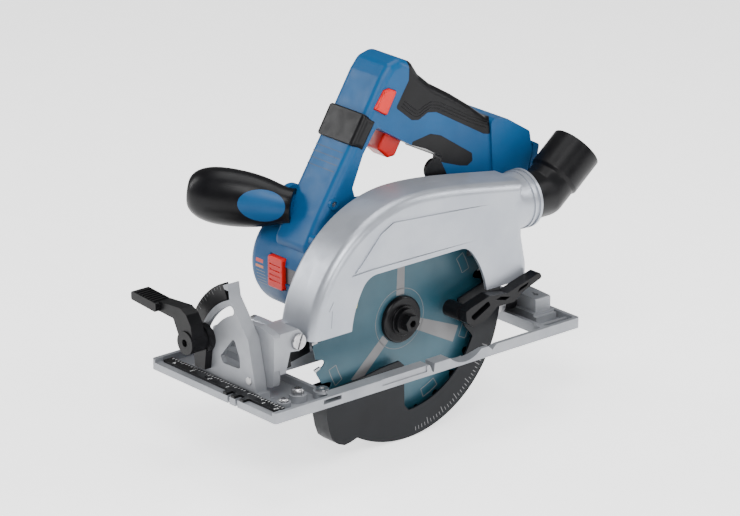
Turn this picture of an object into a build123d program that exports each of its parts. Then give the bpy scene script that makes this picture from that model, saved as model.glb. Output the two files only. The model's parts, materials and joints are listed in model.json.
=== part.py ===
"""Cordless circular saw with the blade on the left, as an assembly of separate pieces.

Frame: +X is the direction of cut, +Y is the blade side (left), +Z is up.
The origin lies on the sole plane (the underside of the base plate), directly below
the arbor and in the middle plane of the blade. Every length is in millimetres.
"""

import math
import os

from build123d import *

os.makedirs("parts", exist_ok=True)

# ---------------------------------------------------------------- driving dimensions
CLEAR = 0.3  # gap between pieces of different bodies
RUN = 0.05  # radial clearance of a running fit

# blade and arbor
BLADE_R = 82.5
BLADE_TEETH = 24
BLADE_BODY = 1.1
KERF = 1.6
ARBOR_R = 15.875 / 2
ARBOR_Z = 29.0

# base plate
BASE_FRONT, BASE_REAR = 151.0, -138.5
BASE_LEFT, BASE_RIGHT = 43.4, -96.6
BASE_HIGH = 8.0
BASE_FLOOR = 2.6
BASE_RIM = 3.2
OPEN_FRONT, OPEN_REAR = 96.0, -104.0
OPEN_LEFT, OPEN_RIGHT = 33.0, -30.0

# bevel axis, along X
BEVEL_Y, BEVEL_Z = -3.0, 15.0
BEVEL_REST = 67.4  # angle of the clamp bolt from straight up at 0 degrees of bevel
BEVEL_TRAVEL = 45.0
BEVEL_SLOT_R = 51.0
BEVEL_BOLT_R = 2.5

# depth axis, along Y
PIVOT_X, PIVOT_Z = 105.0, 41.5
PIVOT_R = 3.5
DEPTH_R = 177.0
DEPTH_REST = 182.4  # angle of the depth bolt about the pivot at full depth
DEPTH_TRAVEL = 28.0
DEPTH_BOLT_R = 3.0

# upper guard
GUARD_R = 99.0
GUARD_WALL = 2.6
GUARD_LEFT, GUARD_SEAM, GUARD_RIGHT = 20.0, 1.0, -17.0
PORT_X, PORT_Y, PORT_Z = -117.0, 1.0, 94.4
PORT_R = 21.0
HOSE_R = 17.5

# lower guard
LOW_R = 90.8
LOW_HALF = 8.3
LOW_WALL = 1.6
HUB_R = 21.9

# drive
MOTOR_X, MOTOR_Z = 32.0, 66.0
MODULE = 1.0
OUT_TEETH, MID_PINION = 38, 17
MID_TEETH, MOTOR_PINION = 33, 12
STATOR_R, ROTOR_R = 26.0, 15.4
SHAFT_R = 4.0
SPINDLE_R = 6.0

# housing
SPLIT_Y = -44.0
HALF_W = 20.0
MOTOR_R = 38.0
MOTOR_END = -87.0
SHELL = 2.8

# elbow of the dust port
ELBOW_R = 18.0
OUTLET_R = 19.6
ELBOW_BEND = 38.7


# ---------------------------------------------------------------- planes and helpers
def side(y):
    """A plane at Y = y whose sketch axes are X and Z; it extrudes towards the right (-Y)."""
    return Plane(origin=(0, y, 0), x_dir=(1, 0, 0), z_dir=(0, -1, 0))


def face_on(x):
    """A plane at X = x whose sketch axes are Y and Z; it extrudes forward (+X)."""
    return Plane(origin=(x, 0, 0), x_dir=(0, 1, 0), z_dir=(1, 0, 0))


def polar(centre, radius, degrees):
    angle = math.radians(degrees)
    return (centre[0] + radius * math.cos(angle), centre[1] + radius * math.sin(angle))


def save(part, label):
    part.label = label
    export_step(part, f"parts/{label}.step")


def closed_face(points, mode=Mode.ADD):
    """A polygon given by its corners, to be called inside a BuildSketch."""
    Polygon(*points, mode=mode)


def involute_angle(base_r, radius):
    tilt = math.acos(min(1.0, base_r / radius))
    return math.tan(tilt) - tilt


def gear_points(centre, teeth, towards, gap_there):
    """Outline of a spur gear. A tooth, or a gap, points to the angle towards, in degrees."""
    backlash = 0.22
    pitch_r = MODULE * teeth / 2
    base_r = pitch_r * math.cos(math.radians(20))
    root_r = pitch_r - 1.2 * MODULE
    tip_r = pitch_r + 0.82 * MODULE
    half_tooth = (math.pi * MODULE / 2 - backlash) / (2 * pitch_r)
    at_pitch = involute_angle(base_r, pitch_r)
    start_r = max(base_r, root_r + 0.05)
    radii = [start_r + (tip_r - start_r) * i / 3 for i in range(4)]
    flank = [(root_r, half_tooth + at_pitch)]
    flank += [(r, half_tooth + at_pitch - involute_angle(base_r, r)) for r in radii]
    pitch = 2 * math.pi / teeth
    first = math.radians(towards) + (pitch / 2 if gap_there else 0)
    points = []
    for tooth in range(teeth):
        middle = first + tooth * pitch
        for r, a in flank:
            points.append((centre[0] + r * math.cos(middle - a), centre[1] + r * math.sin(middle - a)))
        for r, a in reversed(flank):
            points.append((centre[0] + r * math.cos(middle + a), centre[1] + r * math.sin(middle + a)))
    return points


def angle_to(a, b):
    return math.degrees(math.atan2(b[1] - a[1], b[0] - a[0]))


def ring(y_left, y_right, centre, outer, inner):
    """A round tube along Y, as a part."""
    with BuildPart() as made:
        with BuildSketch(side(y_left)):
            with Locations(centre):
                Circle(outer)
                Circle(inner, mode=Mode.SUBTRACT)
        extrude(amount=y_left - y_right)
    return made.part


ARBOR = (0.0, ARBOR_Z)
MOTOR = (MOTOR_X, MOTOR_Z)
BEVEL = (BEVEL_Y, BEVEL_Z)
PIVOT = (PIVOT_X, PIVOT_Z)
OUT_TO_MID = MODULE * (OUT_TEETH + MID_PINION) / 2
MID_TO_MOTOR = MODULE * (MID_TEETH + MOTOR_PINION) / 2
SPAN = math.dist(ARBOR, MOTOR)
MID_ALONG = (SPAN**2 + OUT_TO_MID**2 - MID_TO_MOTOR**2) / (2 * SPAN)
MID_ASIDE = math.sqrt(OUT_TO_MID**2 - MID_ALONG**2)
MID_DIR = ((MOTOR_X - ARBOR[0]) / SPAN, (MOTOR_Z - ARBOR_Z) / SPAN)
MID = (
    ARBOR[0] + MID_ALONG * MID_DIR[0] - MID_ASIDE * MID_DIR[1],
    ARBOR_Z + MID_ALONG * MID_DIR[1] + MID_ASIDE * MID_DIR[0],
)

# ================================================================ base
RELIEF = 7.2  # how far the lever's relief cuts into the strip's inner top edge

with BuildPart() as base_plate:
    with BuildSketch(Plane.XY):
        with Locations(((BASE_FRONT + BASE_REAR) / 2, (BASE_LEFT + BASE_RIGHT) / 2)):
            RectangleRounded(BASE_FRONT - BASE_REAR, BASE_LEFT - BASE_RIGHT, 2.5)
    extrude(amount=BASE_HIGH)
    # the pan to the right of the opening and the front pocket
    with BuildSketch(Plane.XY.offset(BASE_FLOOR)):
        with Locations(((OPEN_FRONT + OPEN_REAR) / 2, (OPEN_RIGHT + BASE_RIGHT) / 2)):
            RectangleRounded(OPEN_FRONT - OPEN_REAR, OPEN_RIGHT - BASE_RIGHT - 2 * BASE_RIM, 4)
        with Locations(((OPEN_FRONT + BASE_FRONT) / 2 - 1.5, (BASE_LEFT + BASE_RIGHT) / 2)):
            RectangleRounded(BASE_FRONT - OPEN_FRONT - 9.5, BASE_LEFT - BASE_RIGHT - 2 * BASE_RIM, 3)
        with Locations(((OPEN_REAR + BASE_REAR) / 2, (BASE_LEFT + BASE_RIGHT) / 2)):
            RectangleRounded(OPEN_REAR - BASE_REAR - 2 * BASE_RIM, BASE_LEFT - BASE_RIGHT - 2 * BASE_RIM, 3)
    extrude(amount=BASE_HIGH, mode=Mode.SUBTRACT)
    # stiffening ribs across the pans
    with BuildSketch(Plane.XY):
        with Locations(*[(x, (OPEN_RIGHT + BASE_RIGHT) / 2) for x in (-80, -45, 45, 75)]):
            Rectangle(2.4, OPEN_RIGHT - BASE_RIGHT - BASE_RIM)
        with Locations(((OPEN_FRONT + OPEN_REAR) / 2, -63)):
            Rectangle(OPEN_FRONT - OPEN_REAR, 2.4)
        with Locations((-121, 32), (-121, -34), (-121, -64)):
            Rectangle(OPEN_REAR - BASE_REAR - BASE_RIM, 2.4)
    extrude(amount=BASE_HIGH - 2.2)
    # seats for the quadrant, the rear block and the front hardware
    with BuildSketch(Plane.XY):
        with Locations((129.8, -30)):
            Rectangle(13.6, 76)
        with Locations((-122.8, 4)):
            Rectangle(20, 40)
        with Locations((97.5, 29.9)):
            Circle(6.5)
        with Locations((131.5, 28.9)):
            Circle(5.0)
        with Locations((114.7, 24)):
            Circle(6.5)
    extrude(amount=BASE_HIGH)
    # blade opening
    with BuildSketch(Plane.XY):
        with Locations(((OPEN_FRONT + OPEN_REAR) / 2, (OPEN_LEFT + OPEN_RIGHT) / 2)):
            RectangleRounded(OPEN_FRONT - OPEN_REAR, OPEN_LEFT - OPEN_RIGHT, 2)
    extrude(amount=2 * BASE_HIGH, mode=Mode.SUBTRACT)
    # room under the gear case, in the wall to the right of the opening
    with BuildSketch(Plane.XY.offset(BASE_FLOOR)):
        with Locations((2, OPEN_RIGHT - 7.5)):
            RectangleRounded(60, 18, 3)
    extrude(amount=BASE_HIGH, mode=Mode.SUBTRACT)
    # sloping relief of the left strip, under the guard lever when the saw is bevelled
    with BuildSketch(face_on(OPEN_REAR + 2)):
        closed_face([(OPEN_LEFT - 1, BASE_HIGH - RELIEF - 1), (OPEN_LEFT + RELIEF + 1, BASE_HIGH + 1),
                     (OPEN_LEFT - 1, BASE_HIGH + 1)])
    extrude(amount=-OPEN_REAR - 32, mode=Mode.SUBTRACT)
    # finger scoop and the two small notches in the left edge
    with BuildSketch(side(BASE_LEFT + 1)):
        with Locations((-26, 23.5)):
            Circle(21.5)
        closed_face([(9, BASE_HIGH + 1), (5.6, 1.8), (4.4, 1.8), (3.4, BASE_HIGH + 1)])
        closed_face([(-47, BASE_HIGH + 1), (-52, 4.5), (-57, BASE_HIGH + 1)])
    extrude(amount=BASE_LEFT - OPEN_LEFT + 2, mode=Mode.SUBTRACT)
    # recessed stretch of the left edge, by 0.8
    with BuildSketch(Plane.XY.offset(3.4)):
        with Locations((32, BASE_LEFT)):
            Rectangle(42, 1.6)
    extrude(amount=BASE_HIGH, mode=Mode.SUBTRACT)
    # slot for the rip fence bar through both long edges, and across the seat
    for y, deep in ((BASE_LEFT - 5, 12), (BASE_RIGHT + 2, 6)):
        with BuildSketch(Plane(origin=(99, y - deep / 2, 5.2), x_dir=(1, 0, 0), z_dir=(0, 1, 0))):
            Rectangle(16.4, 3.2)
        extrude(amount=deep, mode=Mode.SUBTRACT)
    # sight notches for 0 and 45 degrees in the front edge
    with BuildSketch(Plane.XY):
        with Locations((BASE_FRONT, 0), (BASE_FRONT, -8.7)):
            Rectangle(9, 2.2)
    extrude(amount=BASE_HIGH + 1, mode=Mode.SUBTRACT)
    # the front rim steps down where the scale shows, between two lands
    with BuildSketch(Plane.XY.offset(5.4)):
        with Locations((BASE_FRONT, (BASE_LEFT + BASE_RIGHT) / 2)):
            Rectangle(13.4, BASE_LEFT - BASE_RIGHT - 2 * BASE_RIM - 0.8)
    extrude(amount=BASE_HIGH, mode=Mode.SUBTRACT)
    # screw holes: fence clamp, front screw, scale screws, and tapped holes of the seats
    with BuildSketch(Plane.XY):
        with Locations((97.5, 29.9), (131.5, 28.9), (114.7, 24)):
            Circle(2.1)
        with Locations((130, -14), (130, -56), (-122.8, -10), (-122.8, 14)):
            Circle(1.7)
    extrude(amount=BASE_HIGH + 1, mode=Mode.SUBTRACT)
    # hollow under the bevel knuckle
    with BuildSketch(Plane.XY.offset(2.8)):
        with Locations((124.75, 3.5)):
            Rectangle(4.1, 19.0)
    extrude(amount=BASE_HIGH, mode=Mode.SUBTRACT)
save(base_plate.part, "base_plate")

SCALE_X = BASE_FRONT - BASE_RIM - 5.2
SCALE_LEFT, SCALE_RIGHT = BASE_LEFT - BASE_RIM - 3.4, BASE_RIGHT + BASE_RIM + 3.4
with BuildPart() as front_scale:
    with BuildSketch(Plane.XY.offset(5.5)):
        with Locations((SCALE_X - 1.4, (SCALE_LEFT + SCALE_RIGHT) / 2)):
            Rectangle(8.4, SCALE_LEFT - SCALE_RIGHT)
        with Locations((BASE_FRONT - 3.3, 5.4), (BASE_FRONT - 3.3, -4.3), (BASE_FRONT - 3.3, -13.2)):
            Rectangle(6.6, 4.4)
    extrude(amount=1.7)
    fillet(front_scale.edges().filter_by(Axis.Z), 0.5)
save(front_scale.part, "front_scale")

# quadrant: plate, inclined side wall and hooked top
QUAD_FRONT, QUAD_BACK = 137.0, 133.2
WALL_BACK = 126.8
QUAD_LOW = BASE_HIGH + 0.05
WALL_LINE = [(4.2, 8.3), (3.6, 15.0), (-3.3, 45.2), (-23.6, 71.2)]
with BuildPart() as bevel_quadrant:
    with BuildSketch(face_on(QUAD_BACK)):
        with BuildLine():
            start = polar(BEVEL, 58.7, 90 + 76)
            middle = polar(BEVEL, 58.7, 90 + 45)
            top = polar(BEVEL, 58.7, 90 + 21)
            low_right = (4.2, QUAD_LOW)
            low_left = (-62.0, QUAD_LOW)
            Line(low_left, low_right)
            Polyline(low_right, WALL_LINE[1], WALL_LINE[2], WALL_LINE[3], (-25.5, 81.4), (-31.0, 79.0),
                     (-29.5, 76.4), (-24.8, 76.2), top)
            ThreePointArc(top, middle, start)
            Line(start, low_left)
        make_face()
    extrude(amount=QUAD_FRONT - QUAD_BACK)
    # side wall, leaning with the plate's right edge, and the foot
    with BuildSketch(face_on(WALL_BACK)):
        closed_face([(4.2, QUAD_LOW), WALL_LINE[1], WALL_LINE[2], WALL_LINE[3], (-25.5, 81.4), (-27.3, 80.6),
                     (-25.6, 70.4), (-5.4, 44.4), (1.4, 14.8), (1.6, QUAD_LOW)])
        closed_face([(-62, QUAD_LOW), (2, QUAD_LOW), (2, QUAD_LOW + 2.6), (-62, QUAD_LOW + 2.6)])
    extrude(amount=QUAD_BACK - WALL_BACK + 0.5)
    # arc slot for the clamp bolt, triangular window, pivot hole
    with BuildSketch(face_on(QUAD_BACK - 1)):
        rest_end = 90 + BEVEL_REST
        far_end = 90 + BEVEL_REST - BEVEL_TRAVEL
        for radius, keep in ((BEVEL_SLOT_R + 3.3, Mode.ADD), (BEVEL_SLOT_R - 3.3, Mode.SUBTRACT)):
            with BuildLine():
                a, b = polar(BEVEL, radius, far_end), polar(BEVEL, radius, rest_end)
                ThreePointArc(a, polar(BEVEL, radius, (far_end + rest_end) / 2), b)
                Polyline(b, BEVEL, a)
            make_face(mode=keep)
        with Locations(polar(BEVEL, BEVEL_SLOT_R, far_end), polar(BEVEL, BEVEL_SLOT_R, rest_end)):
            Circle(3.3)
        with BuildLine():
            FilletPolyline((-19.5, 42.5), (-35.0, 24.5), (-31.5, 20.0), (-12.5, 21.0), (-13.0, 29.0),
                           radius=2.2, close=True)
        make_face()
        with Locations(BEVEL):
            Circle(3.0)
    extrude(amount=QUAD_FRONT - QUAD_BACK + 2, mode=Mode.SUBTRACT)
    # seats of the fixing screws in the foot
    with BuildSketch(Plane.XY.offset(QUAD_LOW - 1)):
        with Locations((130, -14), (130, -56)):
            Circle(1.9)
    extrude(amount=5, mode=Mode.SUBTRACT)
save(bevel_quadrant.part, "bevel_quadrant")

with BuildPart() as front_bevel_pin:
    with BuildSketch(face_on(WALL_BACK - 7.5)):
        with Locations(BEVEL):
            Circle(3.0)
    extrude(amount=QUAD_FRONT + 0.6 - (WALL_BACK - 7.5))
    fillet(front_bevel_pin.edges().sort_by(Axis.X)[-1], 0.5)
save(front_bevel_pin.part, "front_bevel_pin")

REAR_BLOCK = (-115.6, -130.4)
with BuildPart() as rear_pivot_block:
    with BuildSketch(face_on(REAR_BLOCK[1])):
        with BuildLine():
            FilletPolyline((-12, QUAD_LOW), (20, QUAD_LOW), (20, 20.5), (2, 21.5), (-9, 21.5), (-12, 17),
                           radius=1.2, close=True)
        make_face()
        with Locations(BEVEL):
            Circle(3.0, mode=Mode.SUBTRACT)
    extrude(amount=REAR_BLOCK[0] - REAR_BLOCK[1])
    with BuildSketch(face_on(REAR_BLOCK[1] - 3)):
        with Locations((4, QUAD_LOW + 1.2)):
            Rectangle(34, 2.4)
    extrude(amount=REAR_BLOCK[0] - REAR_BLOCK[1] + 6)
    # keyhole in the top for the fine-adjusting screw
    with BuildSketch(Plane.XY.offset(14)):
        with Locations((-123, 12)):
            Circle(1.9)
        with Locations((-123, 9.6)):
            Rectangle(1.6, 4)
    extrude(amount=10, mode=Mode.SUBTRACT)
save(rear_pivot_block.part, "rear_pivot_block")

with BuildPart() as rear_bevel_pin:
    with BuildSketch(face_on(REAR_BLOCK[1] + 2)):
        with Locations(BEVEL):
            Circle(3.0)
    extrude(amount=-101.0 - REAR_BLOCK[1] - 2)
    with BuildSketch(face_on(-101.0)):
        with Locations(BEVEL):
            Circle(6.5)
    extrude(amount=3)
save(rear_bevel_pin.part, "rear_bevel_pin")


def cap_screw(x, y, z_seat, head_r, head_h, shank_r, shank):
    """A vertical screw with a domed head and a hexagon socket, as a part."""
    with BuildPart() as screw:
        with BuildSketch(Plane.XY.offset(z_seat - shank)):
            with Locations((x, y)):
                Circle(shank_r)
        extrude(amount=shank)
        with BuildSketch(Plane.XY.offset(z_seat)):
            with Locations((x, y)):
                Circle(head_r)
        extrude(amount=head_h)
        fillet(screw.edges().sort_by(Axis.Z)[-1], head_h * 0.45)
        with BuildSketch(Plane.XY.offset(z_seat + head_h * 0.35)):
            with Locations((x, y)):
                RegularPolygon(head_r * 0.45, 6)
        extrude(amount=head_h, mode=Mode.SUBTRACT)
    return screw.part


BASE_SCREWS = [
    cap_screw(131.5, 28.9, BASE_HIGH, 3.6, 2.4, 2.1, BASE_HIGH - 1),
    cap_screw(114.7, 24.0, BASE_HIGH, 4.6, 4.6, 2.1, BASE_HIGH - 1),
    cap_screw(130, -14, QUAD_LOW + 2.6, 3.1, 2.0, 1.7, 9),
    cap_screw(130, -56, QUAD_LOW + 2.6, 3.1, 2.0, 1.7, 9),
]

with BuildPart() as fence_screw:
    with BuildSketch(Plane.XY.offset(BASE_HIGH)):
        with Locations((97.5, 29.9)):
            Circle(4.6)
            Circle(2.1, mode=Mode.SUBTRACT)
    extrude(amount=1.6)
    with BuildSketch(Plane.XY.offset(3.7 + BASE_FLOOR)):
        with Locations((97.5, 29.9)):
            Circle(2.1)
    extrude(amount=BASE_HIGH - 3.7 - BASE_FLOOR + 0.9)
save(Compound(children=BASE_SCREWS + [fence_screw.part]), "base_screws")

# ================================================================ tilting frame
TILT_FRONT, TILT_BACK = WALL_BACK - CLEAR, 120.5
BLOCK_LEFT, BLOCK_RIGHT = 12.5, -8.5
BOLT = polar(BEVEL, BEVEL_SLOT_R, 90 + BEVEL_REST)
with BuildPart() as tilt_bracket:
    with BuildSketch(face_on(TILT_BACK)):
        with BuildLine():
            FilletPolyline((-12, 10.4), (10.5, 10.4), (12.5, 24), (12.5, 50), (-4, 53), (-33, 51), (-56, 38.5),
                           (-58, 30), (-50, 26.5), (-14, 33), radius=3, close=True)
        make_face()
        with Locations(BEVEL):
            Circle(3.0 + RUN, mode=Mode.SUBTRACT)
        with Locations(BOLT):
            Circle(BEVEL_BOLT_R, mode=Mode.SUBTRACT)
    extrude(amount=TILT_FRONT - TILT_BACK)
    # arm back to the depth pivot
    with BuildSketch(side(BLOCK_LEFT)):
        with BuildLine():
            FilletPolyline((TILT_BACK + 1, 36.5), (TILT_BACK + 1, 50.5), (PIVOT_X - 1, 50.4), (PIVOT_X - 4.8, 46),
                           (PIVOT_X - 4.8, 36), (PIVOT_X - 1, 34), radius=2, close=True)
        make_face()
    extrude(amount=BLOCK_LEFT - BLOCK_RIGHT)
    # web under the arm
    with BuildSketch(side(BLOCK_LEFT)):
        closed_face([(TILT_BACK + 1, 20), (TILT_BACK + 1, 38), (PIVOT_X + 6, 38), (PIVOT_X + 11, 20)])
    extrude(amount=4)
    with BuildSketch(side(BLOCK_LEFT + 1)):
        with Locations(PIVOT):
            Circle(PIVOT_R)
    extrude(amount=BLOCK_LEFT - BLOCK_RIGHT + 4, mode=Mode.SUBTRACT)
save(tilt_bracket.part, "tilt_bracket")

# protractor ring behind the quadrant's rounded edge
with BuildPart() as bevel_scale:
    with BuildSketch(face_on(QUAD_BACK)):
        for radius, keep in ((71.2, Mode.ADD), (59.3, Mode.SUBTRACT)):
            with BuildLine():
                a, b = polar(BEVEL, radius, 90 + 24.4), polar(BEVEL, radius, 90 + 64)
                ThreePointArc(a, polar(BEVEL, radius, 90 + 42), b)
                Polyline(b, BEVEL, a)
            make_face(mode=keep)
    extrude(amount=2.8)
    # backing web that joins the ring to the quadrant's back, clear of the slot
    with BuildSketch(face_on(QUAD_BACK - 2.2)):
        for radius, keep in ((71.2, Mode.ADD), (56.0, Mode.SUBTRACT)):
            with BuildLine():
                a, b = polar(BEVEL, radius, 90 + 24.4), polar(BEVEL, radius, 90 + 64)
                ThreePointArc(a, polar(BEVEL, radius, 90 + 42), b)
                Polyline(b, BEVEL, a)
            make_face(mode=keep)
    extrude(amount=2.2)
save(bevel_scale.part, "bevel_scale")

with BuildPart() as bevel_bolt:
    with BuildSketch(face_on(TILT_BACK)):
        with Locations(BOLT):
            Circle(BEVEL_BOLT_R)
    extrude(amount=154 - TILT_BACK)
    with BuildSketch(face_on(TILT_BACK - 3.2)):
        with Locations(BOLT):
            RegularPolygon(5, 6)
    extrude(amount=3.2)
save(bevel_bolt.part, "bevel_clamp_bolt")

# clamp lever on the bevel bolt: hub, cranked arm with a ribbed pad, and a tail
HUB_FRONT = 157.0
with BuildPart() as bevel_lever:
    with BuildSketch(face_on(QUAD_FRONT + CLEAR)):
        with Locations(BOLT):
            Circle(10.5)
            Circle(BEVEL_BOLT_R + 0.3, mode=Mode.SUBTRACT)
    extrude(amount=5)
    with BuildSketch(face_on(QUAD_FRONT + CLEAR + 5)):
        with Locations(BOLT):
            Circle(8.6)
            Circle(BEVEL_BOLT_R + 0.3, mode=Mode.SUBTRACT)
    extrude(amount=HUB_FRONT - QUAD_FRONT - CLEAR - 5)
    with BuildSketch(face_on(145)):
        with BuildLine():
            FilletPolyline(
                (BOLT[0] + 8, BOLT[1] + 3), (BOLT[0] + 6, BOLT[1] + 14), (BOLT[0] + 1, BOLT[1] + 21),
                (BOLT[0] - 6, BOLT[1] + 24.5), (BOLT[0] - 32, BOLT[1] + 22.5), (BOLT[0] - 32, BOLT[1] + 15.5),
                (BOLT[0] - 14, BOLT[1] + 14.5), (BOLT[0] - 8, BOLT[1] + 3), radius=1.6, close=True)
        make_face()
    extrude(amount=11)
    with BuildSketch(face_on(145)):
        with BuildLine():
            FilletPolyline(
                (BOLT[0] - 29, BOLT[1] + 22.3), (BOLT[0] - 57.5, BOLT[1] + 24.0), (BOLT[0] - 57.5, BOLT[1] + 17.6),
                (BOLT[0] - 29, BOLT[1] + 15.5), radius=1.4, close=True)
        make_face()
    extrude(amount=15)
    # ribs across the pad
    with BuildSketch(face_on(146)):
        for step in range(7):
            with Locations((BOLT[0] - 33 - 3.2 * step, BOLT[1] + 22.5 + 0.19 * step)):
                Rectangle(1.5, 1.6)
    extrude(amount=13)
    with BuildSketch(face_on(QUAD_FRONT + CLEAR)):
        closed_face([
            (BOLT[0] - 8, BOLT[1] - 2), (BOLT[0] + 7, BOLT[1] - 6), (BOLT[0] + 5, BASE_HIGH + 4.5),
            (BOLT[0] - 6, BASE_HIGH + 4.5),
        ])
    extrude(amount=6)
save(bevel_lever.part, "bevel_clamp_lever")

with BuildPart() as pivot_pin:
    with BuildSketch(side(BLOCK_LEFT + 2.6)):
        with Locations(PIVOT):
            Circle(6.0)
    extrude(amount=2.6)
    fillet(pivot_pin.edges().sort_by(Axis.Y)[-1], 0.8)
    with BuildSketch(side(BLOCK_LEFT)):
        with Locations(PIVOT):
            Circle(PIVOT_R)
    extrude(amount=BLOCK_LEFT + 37)
    with BuildSketch(side(BLOCK_LEFT + 3)):
        with Locations(PIVOT):
            Rectangle(1.6, 14, rotation=20)
    extrude(amount=1.6, mode=Mode.SUBTRACT)
save(pivot_pin.part, "depth_pivot_pin")

save(ring(-33.4, -37.0, PIVOT, 5.6, PIVOT_R), "pivot_retainer")

# rear frame: boss on the bevel pin, with the slotted depth bracket
BRACKET_LEFT, BRACKET_RIGHT = -19.6, -22.4
BRACKET_LOW = DEPTH_REST + 3.0
BRACKET_HIGH = DEPTH_REST - DEPTH_TRAVEL - 3.0
with BuildPart() as depth_bracket:
    with BuildSketch(side(BRACKET_LEFT)):
        for radius, keep in ((DEPTH_R + 8, Mode.ADD), (DEPTH_R - 8, Mode.SUBTRACT)):
            with BuildLine():
                a, b = polar(PIVOT, radius, BRACKET_HIGH), polar(PIVOT, radius, BRACKET_LOW)
                ThreePointArc(a, polar(PIVOT, radius, (BRACKET_HIGH + BRACKET_LOW) / 2), b)
                Polyline(b, PIVOT, a)
            make_face(mode=keep)
        closed_face([(-80, 27), (-80, 44), (-106.5, 22), (-113.5, 20), (-113.5, 10), (-99, 10)])
        with Locations(polar(PIVOT, DEPTH_R, BRACKET_HIGH)):
            Circle(8)
    extrude(amount=BRACKET_LEFT - BRACKET_RIGHT)
    # arc slot of the depth bolt
    with BuildSketch(side(BRACKET_LEFT + 1)):
        rest_end, far_end = DEPTH_REST, DEPTH_REST - DEPTH_TRAVEL
        for radius, keep in ((DEPTH_R + 3.4, Mode.ADD), (DEPTH_R - 3.4, Mode.SUBTRACT)):
            with BuildLine():
                a, b = polar(PIVOT, radius, far_end), polar(PIVOT, radius, rest_end)
                ThreePointArc(a, polar(PIVOT, radius, (far_end + rest_end) / 2), b)
                Polyline(b, PIVOT, a)
            make_face(mode=keep)
        with Locations(polar(PIVOT, DEPTH_R, far_end), polar(PIVOT, DEPTH_R, rest_end)):
            Circle(3.4)
    extrude(amount=BRACKET_LEFT - BRACKET_RIGHT + 2, mode=Mode.SUBTRACT)
    # cross boss on the rear bevel pin
    with BuildSketch(face_on(-112.2)):
        closed_face([(BRACKET_RIGHT, 10), (BEVEL_Y, 10), (BEVEL_Y, 20.5), (BRACKET_RIGHT, 20.5)])
        with Locations(BEVEL):
            Circle(6.6)
            Circle(3.0 + RUN, mode=Mode.SUBTRACT)
    extrude(amount=10.9)
save(depth_bracket.part, "depth_bracket")

# ================================================================ upper guard and gear case
DEPTH_BOLT = polar(PIVOT, DEPTH_R, DEPTH_REST)
WINDOW_R = 68.0
COVER_LOW = 40.0


def dust_duct(x_start, tall, wide, radius):
    """The guard's rear end, going over from a rounded rectangle to the round collar."""
    with BuildPart() as duct:
        with BuildSketch(face_on(x_start)):
            with Locations(((GUARD_LEFT + GUARD_RIGHT) / 2, PORT_Z)):
                RectangleRounded(wide, tall, min(wide, tall) * 0.32)
        with BuildSketch(face_on(PORT_X + 9)):
            with Locations((PORT_Y, PORT_Z)):
                Circle(radius)
        loft()
        with BuildSketch(face_on(PORT_X - 2)):
            with Locations((PORT_Y, PORT_Z)):
                Circle(radius)
        extrude(amount=11)
    return duct.part


# the guard's outer form, before it is hollowed and split along its seam
with BuildPart() as guard_form:
    with BuildSketch(side(GUARD_LEFT)):
        with BuildLine():
            front = polar(ARBOR, GUARD_R, 6.5)
            top = polar(ARBOR, GUARD_R, 90)
            ThreePointArc(front, polar(ARBOR, GUARD_R, 48), top)
            Spline(top, (-50, 123.6), (-104, PORT_Z + PORT_R - 0.6), tangents=[(-1, 0, 0), (-1, -0.16, 0)])
            Polyline((-104, PORT_Z + PORT_R - 0.6), (-104, PORT_Z - PORT_R), (-108.4, 52), (-108.8, COVER_LOW),
                     (95, COVER_LOW), front)
        make_face()
    extrude(amount=GUARD_LEFT - GUARD_RIGHT)
    fillet(guard_form.faces().sort_by(Axis.Y)[-1].edges().filter_by_position(Axis.Z, COVER_LOW + 1, 200), 7.5)
    fillet(guard_form.faces().sort_by(Axis.Y)[0].edges().filter_by_position(Axis.Z, COVER_LOW + 1, 200), 4)
    add(dust_duct(-90, 2 * PORT_R + 0.6, 36.4, PORT_R))
    # rings of the collar
    with BuildSketch(face_on(PORT_X - 2)):
        with Locations((PORT_Y, PORT_Z)):
            Circle(PORT_R + 1.2)
    extrude(amount=2.2)
    with BuildSketch(face_on(PORT_X + 3.4)):
        with Locations((PORT_Y, PORT_Z)):
            Circle(PORT_R + 0.9)
    extrude(amount=1.8)

with BuildPart() as guard_void:
    with BuildSketch(side(GUARD_LEFT - GUARD_WALL)):
        with BuildLine():
            front = polar(ARBOR, GUARD_R - GUARD_WALL, 0)
            top = polar(ARBOR, GUARD_R - GUARD_WALL, 90)
            ThreePointArc(front, polar(ARBOR, GUARD_R - GUARD_WALL, 45), top)
            Polyline(top, (-50, 120.8), (-96, 112.0), (-96, 77), (-101.5, 73), (-105.4, 52), (-105.8, 20),
                     (93, 20), front)
        make_face()
    extrude(amount=GUARD_LEFT - GUARD_RIGHT - 2 * GUARD_WALL)
    with BuildSketch(face_on(PORT_X - 4)):
        with Locations((PORT_Y, PORT_Z)):
            Circle(ELBOW_R + CLEAR)
    extrude(amount=30)

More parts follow.
